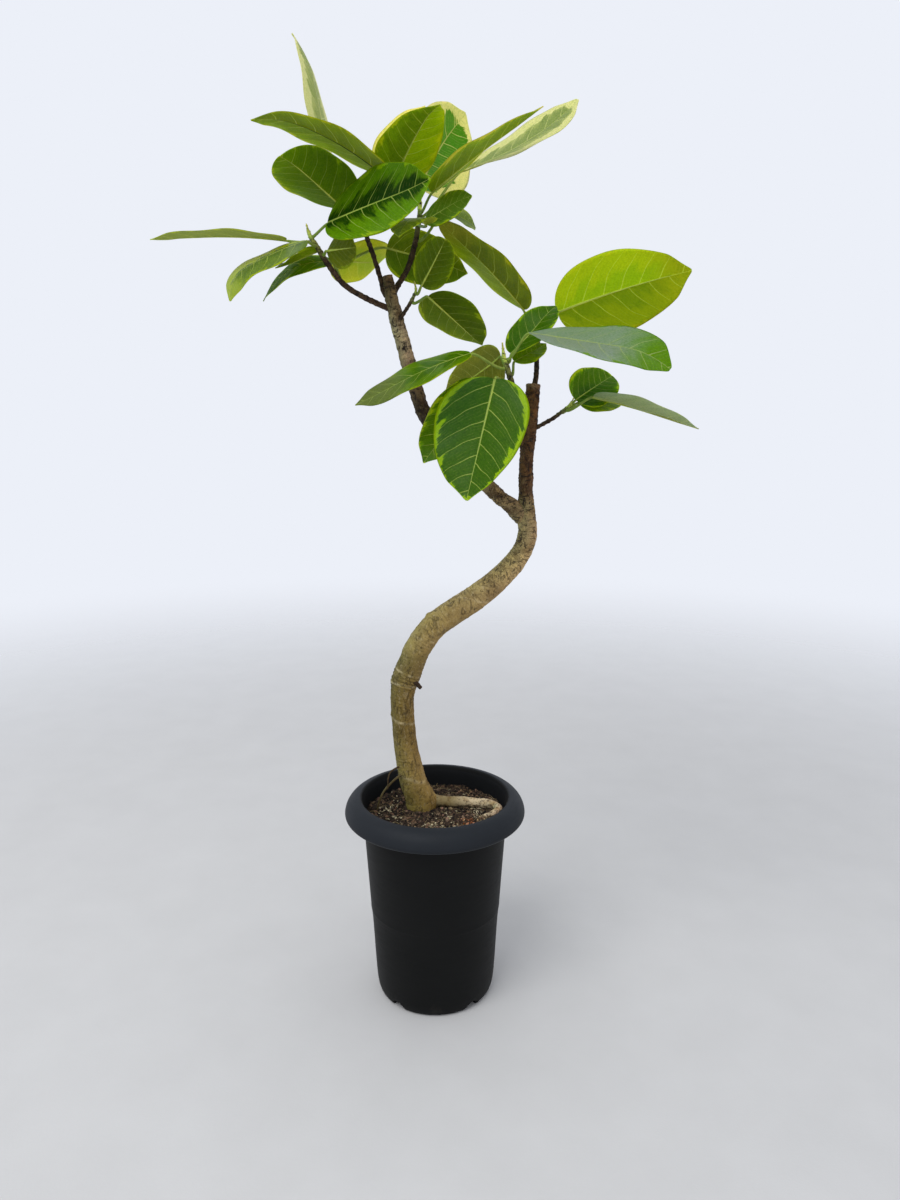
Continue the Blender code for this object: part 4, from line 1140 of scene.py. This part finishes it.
def blade(name, base, tip, width, roll, droop, hook, fold, twist, widest, is_round, material):
    """The blade as rings across it. Each ring runs over the upper face from one margin to the
    other and back below. The middle surface is the solid's own: half the width out to the
    side, folded up along the midrib, with a slow wave at the margin. The faces stand half the
    thickness off it, thin out to the margin, puff up between the side veins, and sink above
    and swell below along the midrib."""
    u = ((1 - np.cos(np.linspace(0, pi, BLADE_ROWS))) / 2 * 0.993 + 0.004)[:, None]
    step = np.linspace(-1, 1, 2 * HALF_COLUMNS + 1)
    spread = np.sign(step) * np.abs(step) ** 1.35
    v = np.concatenate([spread, spread[-2:0:-1]])[None, :]
    face = np.concatenate([np.ones(step.size), -np.ones(step.size - 2)]) * (np.abs(v) < 1)
    middle, side, top, _, size = blade_frame(u[:, 0], base, tip, roll, droop, hook, twist)
    half = np.maximum(width / 2 * half_width(u, widest, is_round), LEAST_HALF)
    wave = width * MARGIN_WAVE * np.sin(5 * pi * u + base[0] * 0.1 + 2 * (v > 0)) * v ** 2
    out = half * v
    across = np.abs(out)
    row = (u - VEIN_SLOPE * across / size - VEIN_CURVE * (across / size) ** 2) / VEIN_SPACE
    row = row + VEIN_SHIFT * (v > 0) + 0.25
    inner = np.clip(4 * np.abs(v) * (1 - np.abs(v)), 0, 1)
    puff = VEIN_PUFF * (1 - np.cos(2 * pi * row)) / 2 * inner
    thick = BLADE_THICKNESS / 2 * (1 - MARGIN_THINNING * np.abs(v) ** 3)
    groove = np.exp(-(across / GROOVE_WIDTH) ** 2) * np.clip(1.1 - u, 0, 1)
    lift = across * np.sin(fold) + wave + puff
    lift = lift + face * thick - np.where(face > 0, GROOVE_DEPTH, RIB_DEPTH) * groove
    aside = (out * cos(fold))[..., None] * side[:, None]
    rings = middle[:, None] + aside + lift[..., None] * top[:, None]
    place = np.stack([u + 0 * v, out / size, face + 0 * out], -1)
    share = np.stack([np.abs(v) + 0 * out, u + 0 * v, 0 * out], -1)
    return skin(name, rings[:, ::-1] * MM, material, place=place[:, ::-1], share=share[:, ::-1])


def stalk_relief(rings, distance):
    """Slight unevenness."""
    return 0.05 * ripple(rings, 5, 19)


def stalk(name, twig, height, base, tip, roll, droop, hook, twist, rib_tone):
    """The stalk: square out of the twig, then a smooth cubic curve to the blade's base, and
    on under the blade as its midrib, thinning all the way."""
    u = np.linspace(0, RIB_END, 22)
    middle, _, top, forward, _ = blade_frame(u, base, tip, roll, droop, hook, twist)
    radius = np.interp(u, [0, RIB_END], RIB_RADII)
    rib = np.column_stack([middle - (radius - 0.2)[:, None] * top, radius])
    centre, direction, twig_radius = joint_on(twig, height)
    end = rib[0, :3]
    away = end - centre
    away -= (away @ direction) * direction
    away /= np.linalg.norm(away)
    foot = centre + away * (twig_radius + STALK_GAP)
    start = foot + away * STALK_FOOT
    reach = np.linalg.norm(end - start) / 3
    aimed = (end - start) / (3 * reach)
    leaving = start + (0.4 * away + 0.6 * aimed) * reach
    coming = end - forward[0] * reach * STALK_EASE
    t = np.linspace(0, 1, 30)[:-1, None]
    curve = (1 - t) ** 3 * start + 3 * (1 - t) ** 2 * t * leaving
    curve = curve + 3 * (1 - t) * t ** 2 * coming + t ** 3 * end
    curve = np.hstack([curve, STALK_RADIUS - STALK_TAPER * t])
    path = np.vstack([[*foot, FOOT_RADII[0]], [*(foot + away * 0.7), FOOT_RADII[1]], curve, rib])
    share = np.clip((np.arange(len(path)) - len(path) + 24) / 6, 0, 1)[:, None]
    tones = (1 - share) * np.array(STALK_GREEN) + share * np.array(rib_tone)
    upright = (0, 1, 0.02) if abs(forward[0][1]) < 0.8 else (1, 0, 0.02)
    return limb(name, path, 14, tones, stalk_finish.material, stalk_relief, upright, cut=False)


number = 0
for twig, rows in LEAVES.items():
    for count, row in enumerate(rows, 1):
        height, base, tip, width, *angles, widest, hue = row
        name = f"leaf_{twig}_{count}"
        base, tip = np.array(base, float), np.array(tip, float)
        roll, droop, hook, fold, twist = np.radians(angles)
        greens = {**GREENS[hue], **OWN_GREENS.get(name, {})}
        rib_tone = greens.pop("rib", RIB_PALE)
        leaf_blade = blade(
            name + "_blade", base, tip, width, roll, droop, hook, fold, twist, widest,
            name in ROUND_LEAVES, leaf_finish(name, SEED_STEP * number, **greens),
        )
        part_of_plant(leaf_blade, name)
        leaf_stalk = stalk(
            name + "_stalk", twig, height, base, tip, roll, droop, hook, twist, rib_tone
        )
        part_of_plant(leaf_stalk, name)
        number += 1
